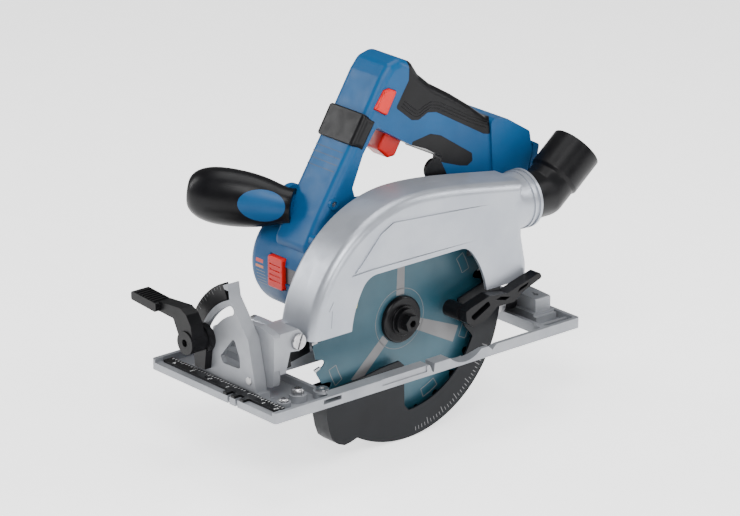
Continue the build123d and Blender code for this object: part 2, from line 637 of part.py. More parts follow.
with BuildPart() as upper_guard_cover:
    add(guard_form.part)
    add(guard_void.part, mode=Mode.SUBTRACT)
    split(bisect_by=side(GUARD_SEAM), keep=Keep.BOTTOM)
    # open window round the blade's hub
    with BuildSketch(side(GUARD_LEFT + 1)):
        with BuildLine():
            rear_low = polar(ARBOR, WINDOW_R, 175)
            rear_top = polar(ARBOR, WINDOW_R, 139)
            ThreePointArc(rear_low, polar(ARBOR, WINDOW_R, 157), rear_top)
            ThreePointArc(rear_top, (-47.2, 76.4), (-42.2, 77.7))
            Line((-42.2, 77.7), (38.0, 77.7))
            ThreePointArc((38.0, 77.7), (45.8, 75.4), (51.4, 69.5))
            ThreePointArc((51.4, 69.5), (58.1, 55.2), (61.6, 38.0))
            Polyline((61.6, 38.0), (61.6, 20), (rear_low[0], 20), rear_low)
        make_face()
    extrude(amount=GUARD_WALL + 3, mode=Mode.SUBTRACT)
    # shallow moulded lines on the face
    with BuildSketch(side(GUARD_LEFT + 0.01)):
        closed_face([(61.5, 81.0), (53.2, 90.6), (35.2, 109.6), (22.2, 115.6), (-69.0, 105.4), (22.0, 112.6),
                     (33.4, 106.9), (51.0, 88.6), (57.6, 82.6), (42.0, 83.4), (-56.9, 81.0), (42.0, 81.8)])
    extrude(amount=0.9, mode=Mode.SUBTRACT)
    # direction arrow, raised
    with BuildSketch(side(GUARD_LEFT + 0.4)):
        closed_face([(78.6, 47), (77.6, 60), (74.4, 60), (78.3, 66.5), (82.4, 60), (79.4, 60), (80.4, 47)])
    extrude(amount=0.8)
save(upper_guard_cover.part, "upper_guard_cover")

with BuildPart() as upper_guard_back:
    add(guard_form.part)
    add(guard_void.part, mode=Mode.SUBTRACT)
    split(bisect_by=side(GUARD_SEAM), keep=Keep.TOP)
    # apron round the spindle nose and lug of the depth bolt
    with BuildSketch(side(GUARD_RIGHT + GUARD_WALL)):
        closed_face([(88, COVER_LOW + 1), (60, 36), (20, 10), (-20, 10), (-60, 36), (-104, COVER_LOW + 1)])
        with Locations(ARBOR, DEPTH_BOLT):
            Circle(9.5)
    extrude(amount=GUARD_WALL)
    # lug and tube of the depth pivot
    with BuildSketch(side(BLOCK_RIGHT - 0.5)):
        with Locations((PIVOT_X - 4.6, PIVOT_Z)):
            Rectangle(9, 11.6)
        with Locations(PIVOT):
            Circle(5.8)
    extrude(amount=GUARD_RIGHT * -1 + BLOCK_RIGHT - 0.5)
    with BuildSketch(side(GUARD_RIGHT)):
        with Locations(PIVOT):
            Circle(5.8)
    extrude(amount=33.2 + GUARD_RIGHT)
    with BuildSketch(side(BLOCK_RIGHT)):
        with Locations(PIVOT):
            Circle(PIVOT_R + RUN)
        with Locations(ARBOR):
            Circle(HUB_R + 0.1)
        with Locations(DEPTH_BOLT):
            Circle(DEPTH_BOLT_R)
    extrude(amount=40, mode=Mode.SUBTRACT)
save(upper_guard_back.part, "upper_guard_back")

with BuildPart() as chip_deflector:
    with BuildSketch(side(-9.6)):
        for radius, keep in ((98.4, Mode.ADD), (94.0, Mode.SUBTRACT)):
            with BuildLine():
                a, b = polar(ARBOR, radius, -10), polar(ARBOR, radius, 3.0)
                ThreePointArc(a, polar(ARBOR, radius, -2), b)
                Polyline(b, ARBOR, a)
            make_face(mode=keep)
    extrude(amount=5)
    with BuildSketch(side(-14.6)):
        for radius, keep in ((98.4, Mode.ADD), (72.0, Mode.SUBTRACT)):
            with BuildLine():
                a, b = polar(ARBOR, radius, -10), polar(ARBOR, radius, 3.0)
                ThreePointArc(a, polar(ARBOR, radius, -2), b)
                Polyline(b, ARBOR, a)
            make_face(mode=keep)
    extrude(amount=2.4)
save(chip_deflector.part, "chip_deflector")

CASE_CIRCLES = ((ARBOR, 24.0), (MID, 21.0), (MOTOR, 20.0))
CASE_LEFT, CASE_SPLIT, CASE_RIGHT = -17.05, -42.0, -45.0
with BuildPart() as gear_case:
    with BuildSketch(side(CASE_LEFT)):
        for centre, radius in CASE_CIRCLES:
            with Locations(centre):
                Circle(radius)
        make_hull()
    extrude(amount=CASE_LEFT - CASE_SPLIT)
    with BuildSketch(side(-20.0)):
        for centre, radius in CASE_CIRCLES:
            with Locations(centre):
                Circle(radius - 2.8)
        make_hull()
    extrude(amount=-20.0 - CASE_SPLIT, mode=Mode.SUBTRACT)
    with BuildSketch(side(-6.4)):
        with Locations(ARBOR):
            Circle(HUB_R)
    extrude(amount=CASE_LEFT * -1 - 6.4)
    with BuildSketch(side(-8.0)):
        with Locations(ARBOR):
            Circle(16.0)
    extrude(amount=20, mode=Mode.SUBTRACT)
    with BuildSketch(side(-6.0)):
        with Locations(ARBOR):
            Circle(12.0)
    extrude(amount=4, mode=Mode.SUBTRACT)
    with BuildSketch(side(-18.2)):
        with Locations(MID):
            Circle(SHAFT_R + RUN)
    extrude(amount=4, mode=Mode.SUBTRACT)
    # slot for the leg of the spindle lock
    with BuildSketch(side(-17.6)):
        with Locations((49, 64.5)):
            Rectangle(18, 15)
    extrude(amount=2.6, mode=Mode.SUBTRACT)
save(gear_case.part, "gear_case")

with BuildPart() as gear_case_cover:
    with BuildSketch(side(CASE_SPLIT)):
        for centre, radius in CASE_CIRCLES:
            with Locations(centre):
                Circle(radius)
        make_hull()
    extrude(amount=CASE_SPLIT - CASE_RIGHT)
    with BuildSketch(side(-37.2)):
        with Locations(ARBOR):
            Circle(12.0)
    extrude(amount=5)
    with BuildSketch(side(CASE_RIGHT)):
        with Locations(MOTOR):
            Circle(13.5)
    extrude(amount=5)
    with BuildSketch(side(-37.0)):
        with Locations(ARBOR):
            Circle(9.5)
    extrude(amount=6.6, mode=Mode.SUBTRACT)
    with BuildSketch(side(-41.0)):
        with Locations(MOTOR):
            Circle(8.0)
        with Locations(MID):
            Circle(SHAFT_R + RUN)
    extrude(amount=3, mode=Mode.SUBTRACT)
    with BuildSketch(side(-45.0)):
        with Locations(MOTOR):
            Circle(11.0)
    extrude(amount=6, mode=Mode.SUBTRACT)
    with BuildSketch(side(-41.0)):
        with Locations(MOTOR):
            Circle(8.0)
    extrude(amount=6, mode=Mode.SUBTRACT)
save(gear_case_cover.part, "gear_case_cover")

save(Compound(children=[
    ring(-8.0, -18.0, ARBOR, 16.0, SPINDLE_R + RUN),
    ring(-37.4, -43.4, ARBOR, 9.5, SPINDLE_R + RUN),
]), "spindle_bearings")
save(ring(-5.4, -6.4, ARBOR, 24.6, 18.3), "guard_retaining_ring")

# ================================================================ drive
with BuildPart() as spindle:
    with BuildSketch(side(-6.0)):
        with Locations(ARBOR):
            Circle(SPINDLE_R)
    extrude(amount=34.6)
    with BuildSketch(side(1.4)):
        with Locations(ARBOR):
            Circle(5.0)
    extrude(amount=7.4)
    with BuildSketch(side(1.4)):
        with Locations(ARBOR):
            Circle(4.0)
    extrude(amount=24, mode=Mode.SUBTRACT)
save(spindle.part, "spindle")

with BuildPart() as inner_flange:
    with BuildSketch(side(-BLADE_BODY / 2)):
        with Locations(ARBOR):
            Circle(17.5)
    extrude(amount=6.0 - BLADE_BODY / 2)
    with BuildSketch(side(0.45)):
        with Locations(ARBOR):
            Circle(ARBOR_R - 0.04)
    extrude(amount=2)
    with BuildSketch(side(1)):
        with Locations(ARBOR):
            Circle(5.0)
    extrude(amount=8, mode=Mode.SUBTRACT)
save(inner_flange.part, "inner_flange")

FLANGE_FACE = 4.4
with BuildPart() as outer_flange:
    with BuildSketch(side(FLANGE_FACE)):
        with Locations(ARBOR):
            Circle(17.5)
    extrude(amount=FLANGE_FACE - BLADE_BODY / 2)
    fillet(outer_flange.edges().sort_by(Axis.Y)[-1], 1.6)
    with BuildSketch(side(6.6)):
        with Locations(ARBOR):
            Circle(11.4)
    extrude(amount=6.6 - FLANGE_FACE)
    with BuildSketch(side(8)):
        with Locations(ARBOR):
            Circle(5.05)
    extrude(amount=10, mode=Mode.SUBTRACT)
save(outer_flange.part, "outer_flange")

BOLT_END = 15.4
with BuildPart() as blade_bolt:
    with BuildSketch(side(9.4)):
        with Locations(ARBOR):
            Circle(9.6)
    extrude(amount=9.4 - 6.6)
    with BuildSketch(side(BOLT_END)):
        with Locations(ARBOR):
            RegularPolygon(6.6, 6, rotation=12)
    extrude(amount=BOLT_END - 9.4)
    with BuildSketch(side(6.6)):
        with Locations(ARBOR):
            Circle(4.0)
    extrude(amount=22)
    with BuildSketch(side(BOLT_END + 0.01)):
        with Locations(ARBOR):
            RegularPolygon(2.9, 6, rotation=12)
    extrude(amount=5, mode=Mode.SUBTRACT)
save(blade_bolt.part, "blade_bolt")

TOOTH = 360 / BLADE_TEETH
with BuildPart() as saw_blade:
    outline = []
    for i in range(BLADE_TEETH):
        at = i * TOOTH
        outline += [polar(ARBOR, 80.9, at), polar(ARBOR, 74.6, at + 0.5), polar(ARBOR, 72.4, at + 2.0),
                    polar(ARBOR, 72.6, at + 3.6), polar(ARBOR, 75.2, at + 5.0), polar(ARBOR, 79.6, at + 6.6),
                    polar(ARBOR, 79.9, at + 9.0), polar(ARBOR, 81.2, at + 13.2)]
    with BuildSketch(side(BLADE_BODY / 2)):
        closed_face(outline)
        with Locations(ARBOR):
            Circle(ARBOR_R, mode=Mode.SUBTRACT)
    extrude(amount=BLADE_BODY)
    # four expansion slots that end in round holes
    with BuildSketch(side(BLADE_BODY)):
        for quarter in range(4):
            at = 47.8 + 90 * quarter
            with Locations(polar(ARBOR, 60.5, at)):
                Circle(1.5)
            closed_face([polar(ARBOR, 60.5, at - 0.5), polar(ARBOR, 75.5, at - 1.2), polar(ARBOR, 75.5, at - 0.3),
                         polar(ARBOR, 60.5, at + 0.5)])
    extrude(amount=2 * BLADE_BODY, mode=Mode.SUBTRACT)
save(saw_blade.part, "saw_blade")

with BuildPart() as carbide_tips:
    with BuildSketch(side(KERF / 2)):
        for i in range(BLADE_TEETH):
            at = i * TOOTH
            closed_face([polar(ARBOR, 80.9, at), polar(ARBOR, 82.0, at - 0.3), polar(ARBOR, BLADE_R, at + 1.15),
                         polar(ARBOR, 77.2, at + 1.35), polar(ARBOR, 77.2, at + 0.3)])
    extrude(amount=KERF)
save(carbide_tips.part, "carbide_tips")


def gear(y_left, y_right, centre, teeth, towards, gap_there, bore):
    with BuildPart() as made:
        with BuildSketch(side(y_left)):
            closed_face(gear_points(centre, teeth, towards, gap_there))
            with Locations(centre):
                Circle(bore, mode=Mode.SUBTRACT)
        extrude(amount=y_left - y_right)
    return made.part


OUT_MID = angle_to(ARBOR, MID)
MID_MOTOR = angle_to(MID, MOTOR)
save(gear(-20.8, -28.5, ARBOR, OUT_TEETH, OUT_MID, False, SPINDLE_R), "output_gear")
save(gear(-30.5, -36.5, MID, MID_TEETH, MID_MOTOR, False, SHAFT_R), "intermediate_gear")
save(gear(-30.2, -36.8, MOTOR, MOTOR_PINION, MID_MOTOR + 180, True, SHAFT_R), "motor_pinion")

with BuildPart() as intermediate_pinion:
    with BuildSketch(side(-20.4)):
        closed_face(gear_points(MID, MID_PINION, OUT_MID + 180, True))
    extrude(amount=9.0)
    with BuildSketch(side(-18.4)):
        with Locations(MID):
            Circle(SHAFT_R)
    extrude(amount=25.2)
save(intermediate_pinion.part, "intermediate_pinion_shaft")

ROTOR_LEFT, ROTOR_RIGHT = -59.0, -75.0
save(ring(-29.8, -82.3, MOTOR, SHAFT_R, 0.6), "rotor_shaft")
save(ring(ROTOR_LEFT, ROTOR_RIGHT, MOTOR, ROTOR_R, SHAFT_R), "motor_rotor")
with BuildPart() as motor_stator:
    with BuildSketch(side(-58.0)):
        with Locations(MOTOR):
            Circle(STATOR_R)
            Circle(16.1, mode=Mode.SUBTRACT)
    extrude(amount=18)
save(motor_stator.part, "motor_stator")
with BuildPart() as stator_windings:
    for y in (-55.2, -76.0):
        with BuildSketch(side(y)):
            with Locations(MOTOR):
                Circle(24.6)
                Circle(17.4, mode=Mode.SUBTRACT)
        extrude(amount=2.8)
save(stator_windings.part, "stator_windings")
save(Compound(children=[
    ring(-45.2, -50.0, MOTOR, 11.0, SHAFT_R + RUN),
    ring(-78.4, -82.0, MOTOR, 8.0, SHAFT_R + RUN),
]), "rotor_bearings")

with BuildPart() as cooling_fan:
    with BuildSketch(side(-50.6)):
        with Locations(MOTOR):
            Circle(27.0)
            Circle(SHAFT_R, mode=Mode.SUBTRACT)
    extrude(amount=1.2)
    with BuildSketch(side(-51.8)):
        for i in range(12):
            closed_face([polar(MOTOR, 11, 30 * i), polar(MOTOR, 26.6, 30 * i + 14), polar(MOTOR, 26.6, 30 * i + 17),
                         polar(MOTOR, 11, 30 * i + 6)])
    extrude(amount=2.6)
save(cooling_fan.part, "cooling_fan")

# ================================================================ lower guard
LOW_REAR, LOW_FRONT = 160.0, -59.1
NOSE = [(46.8, -48.8), (52.9, -50.8), (58.5, -51.6), (64.4, -49.2), (69.9, -44.6), (72.7, -37.2), (75.0, -26.5),
        (75.8, -10.9), (75.8, -5.5), (39.3, -3.8)]


def low_guard_outline(radius):
    """The guard's side view down to the given rim radius, as a solid 1 mm thick at Y = 0."""
    grow = radius / LOW_R
    with BuildPart() as made:
        with BuildSketch(side(0)):
            with BuildLine():
                rear, low = polar(ARBOR, radius, LOW_REAR), polar(ARBOR, radius, LOW_FRONT)
                ThreePointArc(rear, polar(ARBOR, radius, 230), low)
                Polyline(low, *[(x * grow, ARBOR_Z + (z - ARBOR_Z) * grow) for x, z in NOSE[1:]], ARBOR, rear)
            make_face()
        extrude(amount=1)
    return made.part


LOW_OUTER = low_guard_outline(LOW_R).faces().sort_by(Axis.Y)[-1]
LOW_INNER = low_guard_outline(LOW_R - LOW_WALL).faces().sort_by(Axis.Y)[-1]
with BuildPart() as lower_guard:
    extrude(LOW_OUTER.moved(Location((0, LOW_HALF, 0))), amount=2 * LOW_HALF, dir=(0, -1, 0))
    extrude(LOW_INNER.moved(Location((0, LOW_HALF - LOW_WALL, 0))), amount=2 * (LOW_HALF - LOW_WALL),
            dir=(0, -1, 0), mode=Mode.SUBTRACT)
    # hub plate on the right, and its bore
    with BuildSketch(side(LOW_WALL - LOW_HALF)):
        with Locations(ARBOR):
            Circle(29)
    extrude(amount=LOW_WALL)
    with BuildSketch(side(0)):
        with Locations(ARBOR):
            Circle(HUB_R + RUN)
    extrude(amount=2 * LOW_HALF, mode=Mode.SUBTRACT)
    # everything left of the blade is open above the band and behind the front plate
    with BuildSketch(side(LOW_HALF + 1)):
        with BuildLine():
            window_rear = polar(ARBOR, 69.5, 203)
            window_front = polar(ARBOR, 69.5, 268)
            ThreePointArc(window_rear, polar(ARBOR, 69.5, 235), window_front)
            Polyline(window_front, (1.8, -35.4), (2.3, -4.1), (6.8, 0.1), (25.1, -1.3), (39.3, -3.8), (76, -6),
                     (76, 70), (-92, 70), (-92, 46), (-50, 34), (-49.4, 27), (-56.8, 10.6), (-61.6, 5.2), window_rear)
        make_face()
    extrude(amount=LOW_WALL + 1.2, mode=Mode.SUBTRACT)
    # rubber stop on the front end
    with BuildSketch(side(LOW_HALF - LOW_WALL)):
        closed_face([(72.8, -11), (75.8, -11), (75.2, -24), (72.2, -24)])
    extrude(amount=2 * (LOW_HALF - LOW_WALL))
    # room for the tips
    with BuildSketch(side(LOW_HALF - LOW_WALL)):
        with Locations(ARBOR):
            Circle(BLADE_R + 0.7)
    extrude(amount=2 * (LOW_HALF - LOW_WALL), mode=Mode.SUBTRACT)
save(lower_guard.part, "lower_guard")

NECK = (-42.0, 29.0)
NECK_R = 6.2
LEVER_LEFT, LEVER_RIGHT = 30.4, 20.8
with BuildPart() as guard_lever:
    with BuildSketch(side(LEVER_RIGHT + 1)):
        with Locations(NECK):
            Circle(NECK_R)
    extrude(amount=LEVER_RIGHT + 1 - LOW_HALF + LOW_WALL)
    with BuildSketch(side(LEVER_LEFT)):
        with BuildLine():
            FilletPolyline((-37.6, 33.0), (-42.5, 35.2), (-60.8, 40.1), (-77.4, 37.9), (-109.8, 46.4),
                           (-112.0, 42.2), (-95.4, 36.4), (-84.7, 29.6), (-68.0, 29.9), (-58.7, 22.8),
                           (-45.0, 20.0), (-38.4, 24.6), radius=1.6, close=True)
        make_face()
    extrude(amount=LEVER_LEFT - LEVER_RIGHT)
    # pocket in the near face
    with BuildSketch(side(LEVER_LEFT + 1)):
        with BuildLine():
            FilletPolyline((-42.0, 28.4), (-59.3, 36.6), (-61.6, 32.6), (-45.6, 24.6), radius=1.5, close=True)
        make_face()
    extrude(amount=6, mode=Mode.SUBTRACT)
    # grip ribs under the pad
    with BuildSketch(side(LEVER_LEFT + 1)):
        closed_face([(-66.4, 35.6), (-76.0, 33.0), (-80.5, 34.6), (-71.5, 37.0)])
        closed_face([(-88.0, 36.2), (-97.0, 39.0), (-99.0, 41.6), (-90.0, 39.2)])
    extrude(amount=5, mode=Mode.SUBTRACT)
save(guard_lever.part, "guard_lift_lever")

with BuildPart() as guard_spring:
    with BuildSketch(side(-9.6)):
        with Locations(ARBOR):
            Circle(25.2)
            Circle(24.0, mode=Mode.SUBTRACT)
    extrude(amount=3.6)
    with BuildSketch(side(-9.6)):
        closed_face([(-24, 31), (-36, 33), (-36, 34.2), (-24, 32.2)])
    extrude(amount=1.2)
save(guard_spring.part, "guard_return_spring")

# ================================================================ housing and handle
HAND_LEFT, HAND_RIGHT = -24.0, -64.0
OUTER_LOOP = [(66.5, 88.0), (53.7, 110.6), (9.6, 178.9), (-5.5, 203.0), (-13.0, 211.5), (-23.9, 214.1),
              (-34.5, 209.0), (-41.5, 198.5), (-52.8, 188.9), (-73.5, 176.5), (-91.0, 164.6), (-107.8, 151.8),
              (-124.0, 148.4), (-146.5, 134.2), (-149.5, 118.0), (-137.0, 79.0), (-60.0, 84.0), (0.0, 78.0),
              (32.0, 40.0)]
GAP_LOOP = [(16.0, 104.0), (23.5, 127.0), (13.5, 150.3), (0.5, 168.5), (-8.0, 162.5), (-31.0, 148.0),
            (-46.2, 141.6), (-62.0, 131.8), (-57.5, 119.0), (-56.5, 99.0)]
FOOT_LOOP = [(-107.8, 151.8), (-124.0, 148.4), (-146.5, 134.2), (-149.5, 118.0), (-137.0, 79.0), (-112.0, 80.6)]


def gap_corner(inset):
    """The hand gap's far rear corner, which leaves only a slanting web on the left."""
    with BuildPart() as made:
        with BuildSketch(side(-20)):
            closed_face([(-50, 99.6), (-50, 138.0), (-62, 131.0), (-94, 119.8), (-94, 99.6)])
            if inset != 0:
                offset(amount=inset, kind=Kind.INTERSECTION)
        extrude(amount=50)
        with BuildSketch(Plane.XY.offset(80)):
            closed_face([(-46, -19.5), (-96, -66.0), (-96, -72.0), (-46, -72.0)])
            if inset != 0:
                offset(amount=inset, kind=Kind.INTERSECTION)
        extrude(amount=80, mode=Mode.INTERSECT)
    return made.part


def handle_form(inset, round_r):
    """Strut, grip, foot and bridge, drawn inset from their outer surface."""
    corner = gap_corner(inset)
    with BuildPart() as made:
        with BuildSketch(side(HAND_LEFT - inset)):
            with BuildLine():
                FilletPolyline(*OUTER_LOOP, radius=8, close=True)
            make_face()
            with BuildLine():
                FilletPolyline(*GAP_LOOP, radius=3, close=True)
            make_face(mode=Mode.SUBTRACT)
            if inset != 0:
                offset(amount=-inset, kind=Kind.INTERSECTION)
        extrude(amount=HAND_LEFT - HAND_RIGHT - 2 * inset)
        if round_r > 0:
            ends = (made.faces().sort_by(Axis.Y)[-1], made.faces().sort_by(Axis.Y)[0])
            fillet(ends[0].outer_wire().edges() + ends[1].outer_wire().edges(), round_r)
        add(corner, mode=Mode.SUBTRACT)
    return made.part


def barrel_and_foot(inset):
    """The motor barrel and the wide battery foot."""
    with BuildPart() as made:
        with BuildSketch(side(HAND_LEFT - inset)):
            with Locations(MOTOR):
                Circle(MOTOR_R - inset)
        extrude(amount=HAND_LEFT + 66.0 - inset)
        with BuildSketch(side(-22.4 - inset)):
            with BuildLine():
                FilletPolyline(*FOOT_LOOP, radius=4, close=True)
            make_face()
            if inset != 0:
                offset(amount=-inset, kind=Kind.INTERSECTION)
        extrude(amount=55.6 - 2 * inset)
    return made.part


HANDLE_OUTER = handle_form(0, 6.5)
HANDLE_SKIN = handle_form(1.6, 5.2)
HANDLE_VOID = handle_form(4.6, 0)

SLIDE = (-0.5, 0.866)
TRIGGER = [(-10.3, 145.9), (-15.6, 155.0), (-18.9, 160.8), (-35.0, 151.6), (-31.6, 145.6), (-26.6, 137.4),
           (-19.9, 137.2)]
TRIGGER_LEFT, TRIGGER_RIGHT = -35.0, -53.0


def on_slide(across, along):
    """A point of the side view from its distances across and along the trigger's travel."""
    return (SLIDE[1] * across + SLIDE[0] * along, SLIDE[1] * along - SLIDE[0] * across)


TRIGGER_SLOT = [on_slide(64.4, 126), on_slide(64.4, 156), on_slide(45.05, 156), on_slide(45.05, 126)]
LOCK = [(3.0, 182.0), (-5.8, 194.4), (-10.4, 194.9), (-16.9, 191.8), (-7.4, 175.4)]
LOCK_OUT, LOCK_IN = -21.6, -32.0

# parting regions of the soft grips and of the band round the strut
GRIP_TOP = [(-17.3, 178.7), (-21.0, 184.0), (-29.5, 197.0), (-30.5, 218.0), (-50.0, 218.0), (-118.0, 168.0),
            (-112.5, 150.5), (-112.3, 144.4), (-108.3, 139.4), (-102.0, 141.0), (-56.0, 167.4), (-47.8, 168.8),
            (-39.2, 165.0), (-32.5, 166.2)]
GRIP_LOW = [(-33.0, 149.8), (-50.5, 152.2), (-60.5, 148.8), (-91.0, 128.6), (-91.6, 122.6), (-86.5, 119.8),
            (-79.0, 121.5), (-64.0, 127.0), (-40.0, 138.0), (-32.0, 144.0)]
BAND = [(11.4, 180.0), (-0.2, 173.0), (14.2, 151.2), (24.2, 159.4)]


def region(loop, y_left, y_right, radius):
    """A prism over a closed outline in the side view."""
    with BuildPart() as made:
        with BuildSketch(side(y_left)):
            with BuildLine():
                FilletPolyline(*loop, radius=radius, close=True)
            make_face()
        extrude(amount=y_left - y_right)
    return made.part


TOP_REGION = region(GRIP_TOP, -20, -68, 2.5)
LOW_REGION = region(GRIP_LOW, -20, -68, 1.6)
with BuildPart() as grip_upper:
    add(HANDLE_OUTER)
    add(TOP_REGION, mode=Mode.INTERSECT)
    add(HANDLE_SKIN, mode=Mode.SUBTRACT)
save(grip_upper.part, "grip_pad_upper")

with BuildPart() as grip_lower:
    add(HANDLE_OUTER)
    add(LOW_REGION, mode=Mode.INTERSECT)
    add(HANDLE_SKIN, mode=Mode.SUBTRACT)
    with BuildSketch(side(TRIGGER_LEFT + CLEAR)):
        closed_face(TRIGGER_SLOT)
    extrude(amount=TRIGGER_LEFT - TRIGGER_RIGHT + 2 * CLEAR, mode=Mode.SUBTRACT)
save(grip_lower.part, "grip_pad_lower")

# band: follows the strut's front, left and right faces, 1.2 proud
with BuildPart() as strut_band:
    with BuildSketch(side(HAND_LEFT + 1.2)):
        with BuildLine():
            FilletPolyline(*BAND, radius=1.0, close=True)
        make_face()
    extrude(amount=HAND_LEFT - HAND_RIGHT + 2.4)
    fillet(strut_band.edges().filter_by(Plane.XZ).group_by(Axis.Y)[-1].sort_by(Axis.X)[-1], 5)
    fillet(strut_band.edges().filter_by(Plane.XZ).group_by(Axis.Y)[0].sort_by(Axis.X)[-1], 5)
    add(HANDLE_OUTER, mode=Mode.SUBTRACT)
    with BuildSketch(side(HAND_LEFT + 3)):
        closed_face([(-4.0, 176.0), (10.8, 153.0), (12.0, 149.0), (-12.0, 168.0)])
    extrude(amount=50, mode=Mode.SUBTRACT)
save(strut_band.part, "strut_band")

with BuildPart() as terminals:
    with BuildSketch(face_on(-156.0)):
        with Locations((-42.0, 104.0), (-47.4, 104.0), (-52.8, 104.0), (-58.2, 104.0)):
            Rectangle(1.0, 9.0)
    extrude(amount=15.0)
save(terminals.part, "battery_terminals")

# everything cut out of both housing shells
CASE_CLEAR = 0.05
with BuildPart() as housing_cut:
    add(HANDLE_VOID)
    with BuildSketch(side(-26.8)):
        with Locations(MOTOR):
            Circle(35.2)
    extrude(amount=70)
    add(barrel_and_foot(3.0))
    with BuildSketch(side(-20)):
        for centre, radius in CASE_CIRCLES:
            with Locations(centre):
                Circle(radius + CASE_CLEAR)
        make_hull()
    extrude(amount=25.05)
    # slot of the trigger, hole of the lock-off button
    with BuildSketch(side(TRIGGER_LEFT + CLEAR)):
        closed_face(TRIGGER_SLOT)
    extrude(amount=TRIGGER_LEFT - TRIGGER_RIGHT + 2 * CLEAR)
    with BuildSketch(side(HAND_LEFT + 2)):
        closed_face(LOCK)
        offset(amount=CLEAR, kind=Kind.INTERSECTION)
    extrude(amount=HAND_LEFT + 2 - LOCK_IN + 6)
    # window of the spindle lock in the barrel's front
    with BuildSketch(face_on(MOTOR_X + 30)):
        with Locations((-53.5, MOTOR_Z)):
            Rectangle(18.0, 25.0)
        with Locations((-33.5, MOTOR_Z)):
            Rectangle(24.0, 13.0)
    extrude(amount=14)

with BuildPart() as housing_form:
    add(HANDLE_OUTER)
    add(barrel_and_foot(0))
    # screw boss on the strut's left face
    with BuildSketch(side(HAND_LEFT + 1.0)):
        with Locations((41.0, 119.0), (58.0, 95.0)):
            Circle(4.2)
    extrude(amount=4)
    # socket of the front handle on the right
    with BuildSketch(side(-60.0)):
        with Locations((48.0, 112.0)):
            Ellipse(13.0, 14.0)
    extrude(amount=5.5)

with BuildPart() as housing_left:
    add(housing_form.part)
    add(housing_cut.part, mode=Mode.SUBTRACT)
    add(terminals.part, mode=Mode.SUBTRACT)
    add(grip_upper.part, mode=Mode.SUBTRACT)
    add(grip_lower.part, mode=Mode.SUBTRACT)
    split(bisect_by=side(SPLIT_Y), keep=Keep.BOTTOM)
    # screw holes in the bosses
    with BuildSketch(side(HAND_LEFT + 1)):
        with Locations((41.0, 119.0), (58.0, 95.0)):
            Circle(2.4)
    extrude(amount=3, mode=Mode.SUBTRACT)
save(housing_left.part, "housing_left")

with BuildPart() as housing_right:
    add(housing_form.part)
    add(housing_cut.part, mode=Mode.SUBTRACT)
    add(terminals.part, mode=Mode.SUBTRACT)
    add(grip_upper.part, mode=Mode.SUBTRACT)
    add(grip_lower.part, mode=Mode.SUBTRACT)
    split(bisect_by=side(SPLIT_Y), keep=Keep.TOP)
    # ribs that hold the motor
    with BuildSketch(side(-60.0)):
        for turn in (45, 135, 225, 315):
            with Locations(Location((MOTOR_X, MOTOR_Z, 0), (0, 0, turn))):
                with Locations((30.8, 0)):
                    Rectangle(9.6, 3.0)
    extrude(amount=6.0)
save(housing_right.part, "housing_right")

with BuildPart() as motor_end_cap:
    with BuildSketch(side(-66.0)):
        with Locations(MOTOR):
            Circle(MOTOR_R)
    extrude(amount=MOTOR_END * -1 - 66.0)
    fillet(motor_end_cap.faces().sort_by(Axis.Y)[0].edges(), 9)
    with BuildSketch(side(-66.0)):
        with Locations(MOTOR):
            Circle(MOTOR_R - SHELL)
    extrude(amount=16.5, mode=Mode.SUBTRACT)
    # seat of the rotor's right bearing
    with BuildSketch(side(-78.0)):
        with Locations(MOTOR):
            Circle(11.0)
    extrude(amount=5)
    with BuildSketch(side(-77.9)):
        with Locations(MOTOR):
            Circle(8.0)
    extrude(amount=5.1, mode=Mode.SUBTRACT)
    # air slots
    with BuildSketch(side(MOTOR_END + 5)):
        for z in (-16, -8, 0, 8, 16):
            for x in (-20, 20):
                with Locations((MOTOR_X + x, MOTOR_Z + z)):
                    SlotOverall(15, 3.2)
    extrude(amount=10, mode=Mode.SUBTRACT)
    # air slots round the rim
    with BuildSketch(side(-69.0)):
        for turn in range(70, 290, 20):
            with Locations(Location((MOTOR_X, MOTOR_Z, 0), (0, 0, turn + 10))):
                with Locations((MOTOR_R, 0)):
                    Rectangle(8, 3.6)
    extrude(amount=8, mode=Mode.SUBTRACT)
save(motor_end_cap.part, "motor_end_cap")

# ================================================================ battery interface and electronics
RAIL_LOOP = [(-147.9, 126.5), (-158.0, 121.0), (-148.0, 74.5), (-137.0, 79.6)]
with BuildPart() as battery_rails:
    with BuildSketch(side(-24.0)):
        with BuildLine():
            FilletPolyline(*RAIL_LOOP, radius=2.5, close=True)
        make_face()
    extrude(amount=52.4)
    # undercut below each rail, and the channel between them
    with BuildSketch(side(-23.0)):
        closed_face([(-148.7, 124.0), (-152.2, 122.2), (-141.8, 74.0), (-138.3, 76.0)])
    extrude(amount=5.0, mode=Mode.SUBTRACT)
    with BuildSketch(side(-72.4)):
        closed_face([(-148.7, 124.0), (-152.2, 122.2), (-141.8, 74.0), (-138.3, 76.0)])
    extrude(amount=5.0, mode=Mode.SUBTRACT)
    with BuildSketch(side(-34.0)):
        closed_face([(-154.2, 115.0), (-162.0, 119.0), (-150.0, 70.0), (-144.5, 72.0)])
    extrude(amount=32.4, mode=Mode.SUBTRACT)
    add(barrel_and_foot(0), mode=Mode.SUBTRACT)
    add(terminals.part, mode=Mode.SUBTRACT)
save(battery_rails.part, "battery_rails")

with BuildPart() as control_board:
    with BuildSketch(side(-40.0)):
        with BuildLine():
            FilletPolyline((-72.0, 89.6), (-72.0, 93.6), (-20.0, 93.6), (-20.0, 89.6), radius=1, close=True)
        make_face()
    extrude(amount=14.0)
save(control_board.part, "control_board")

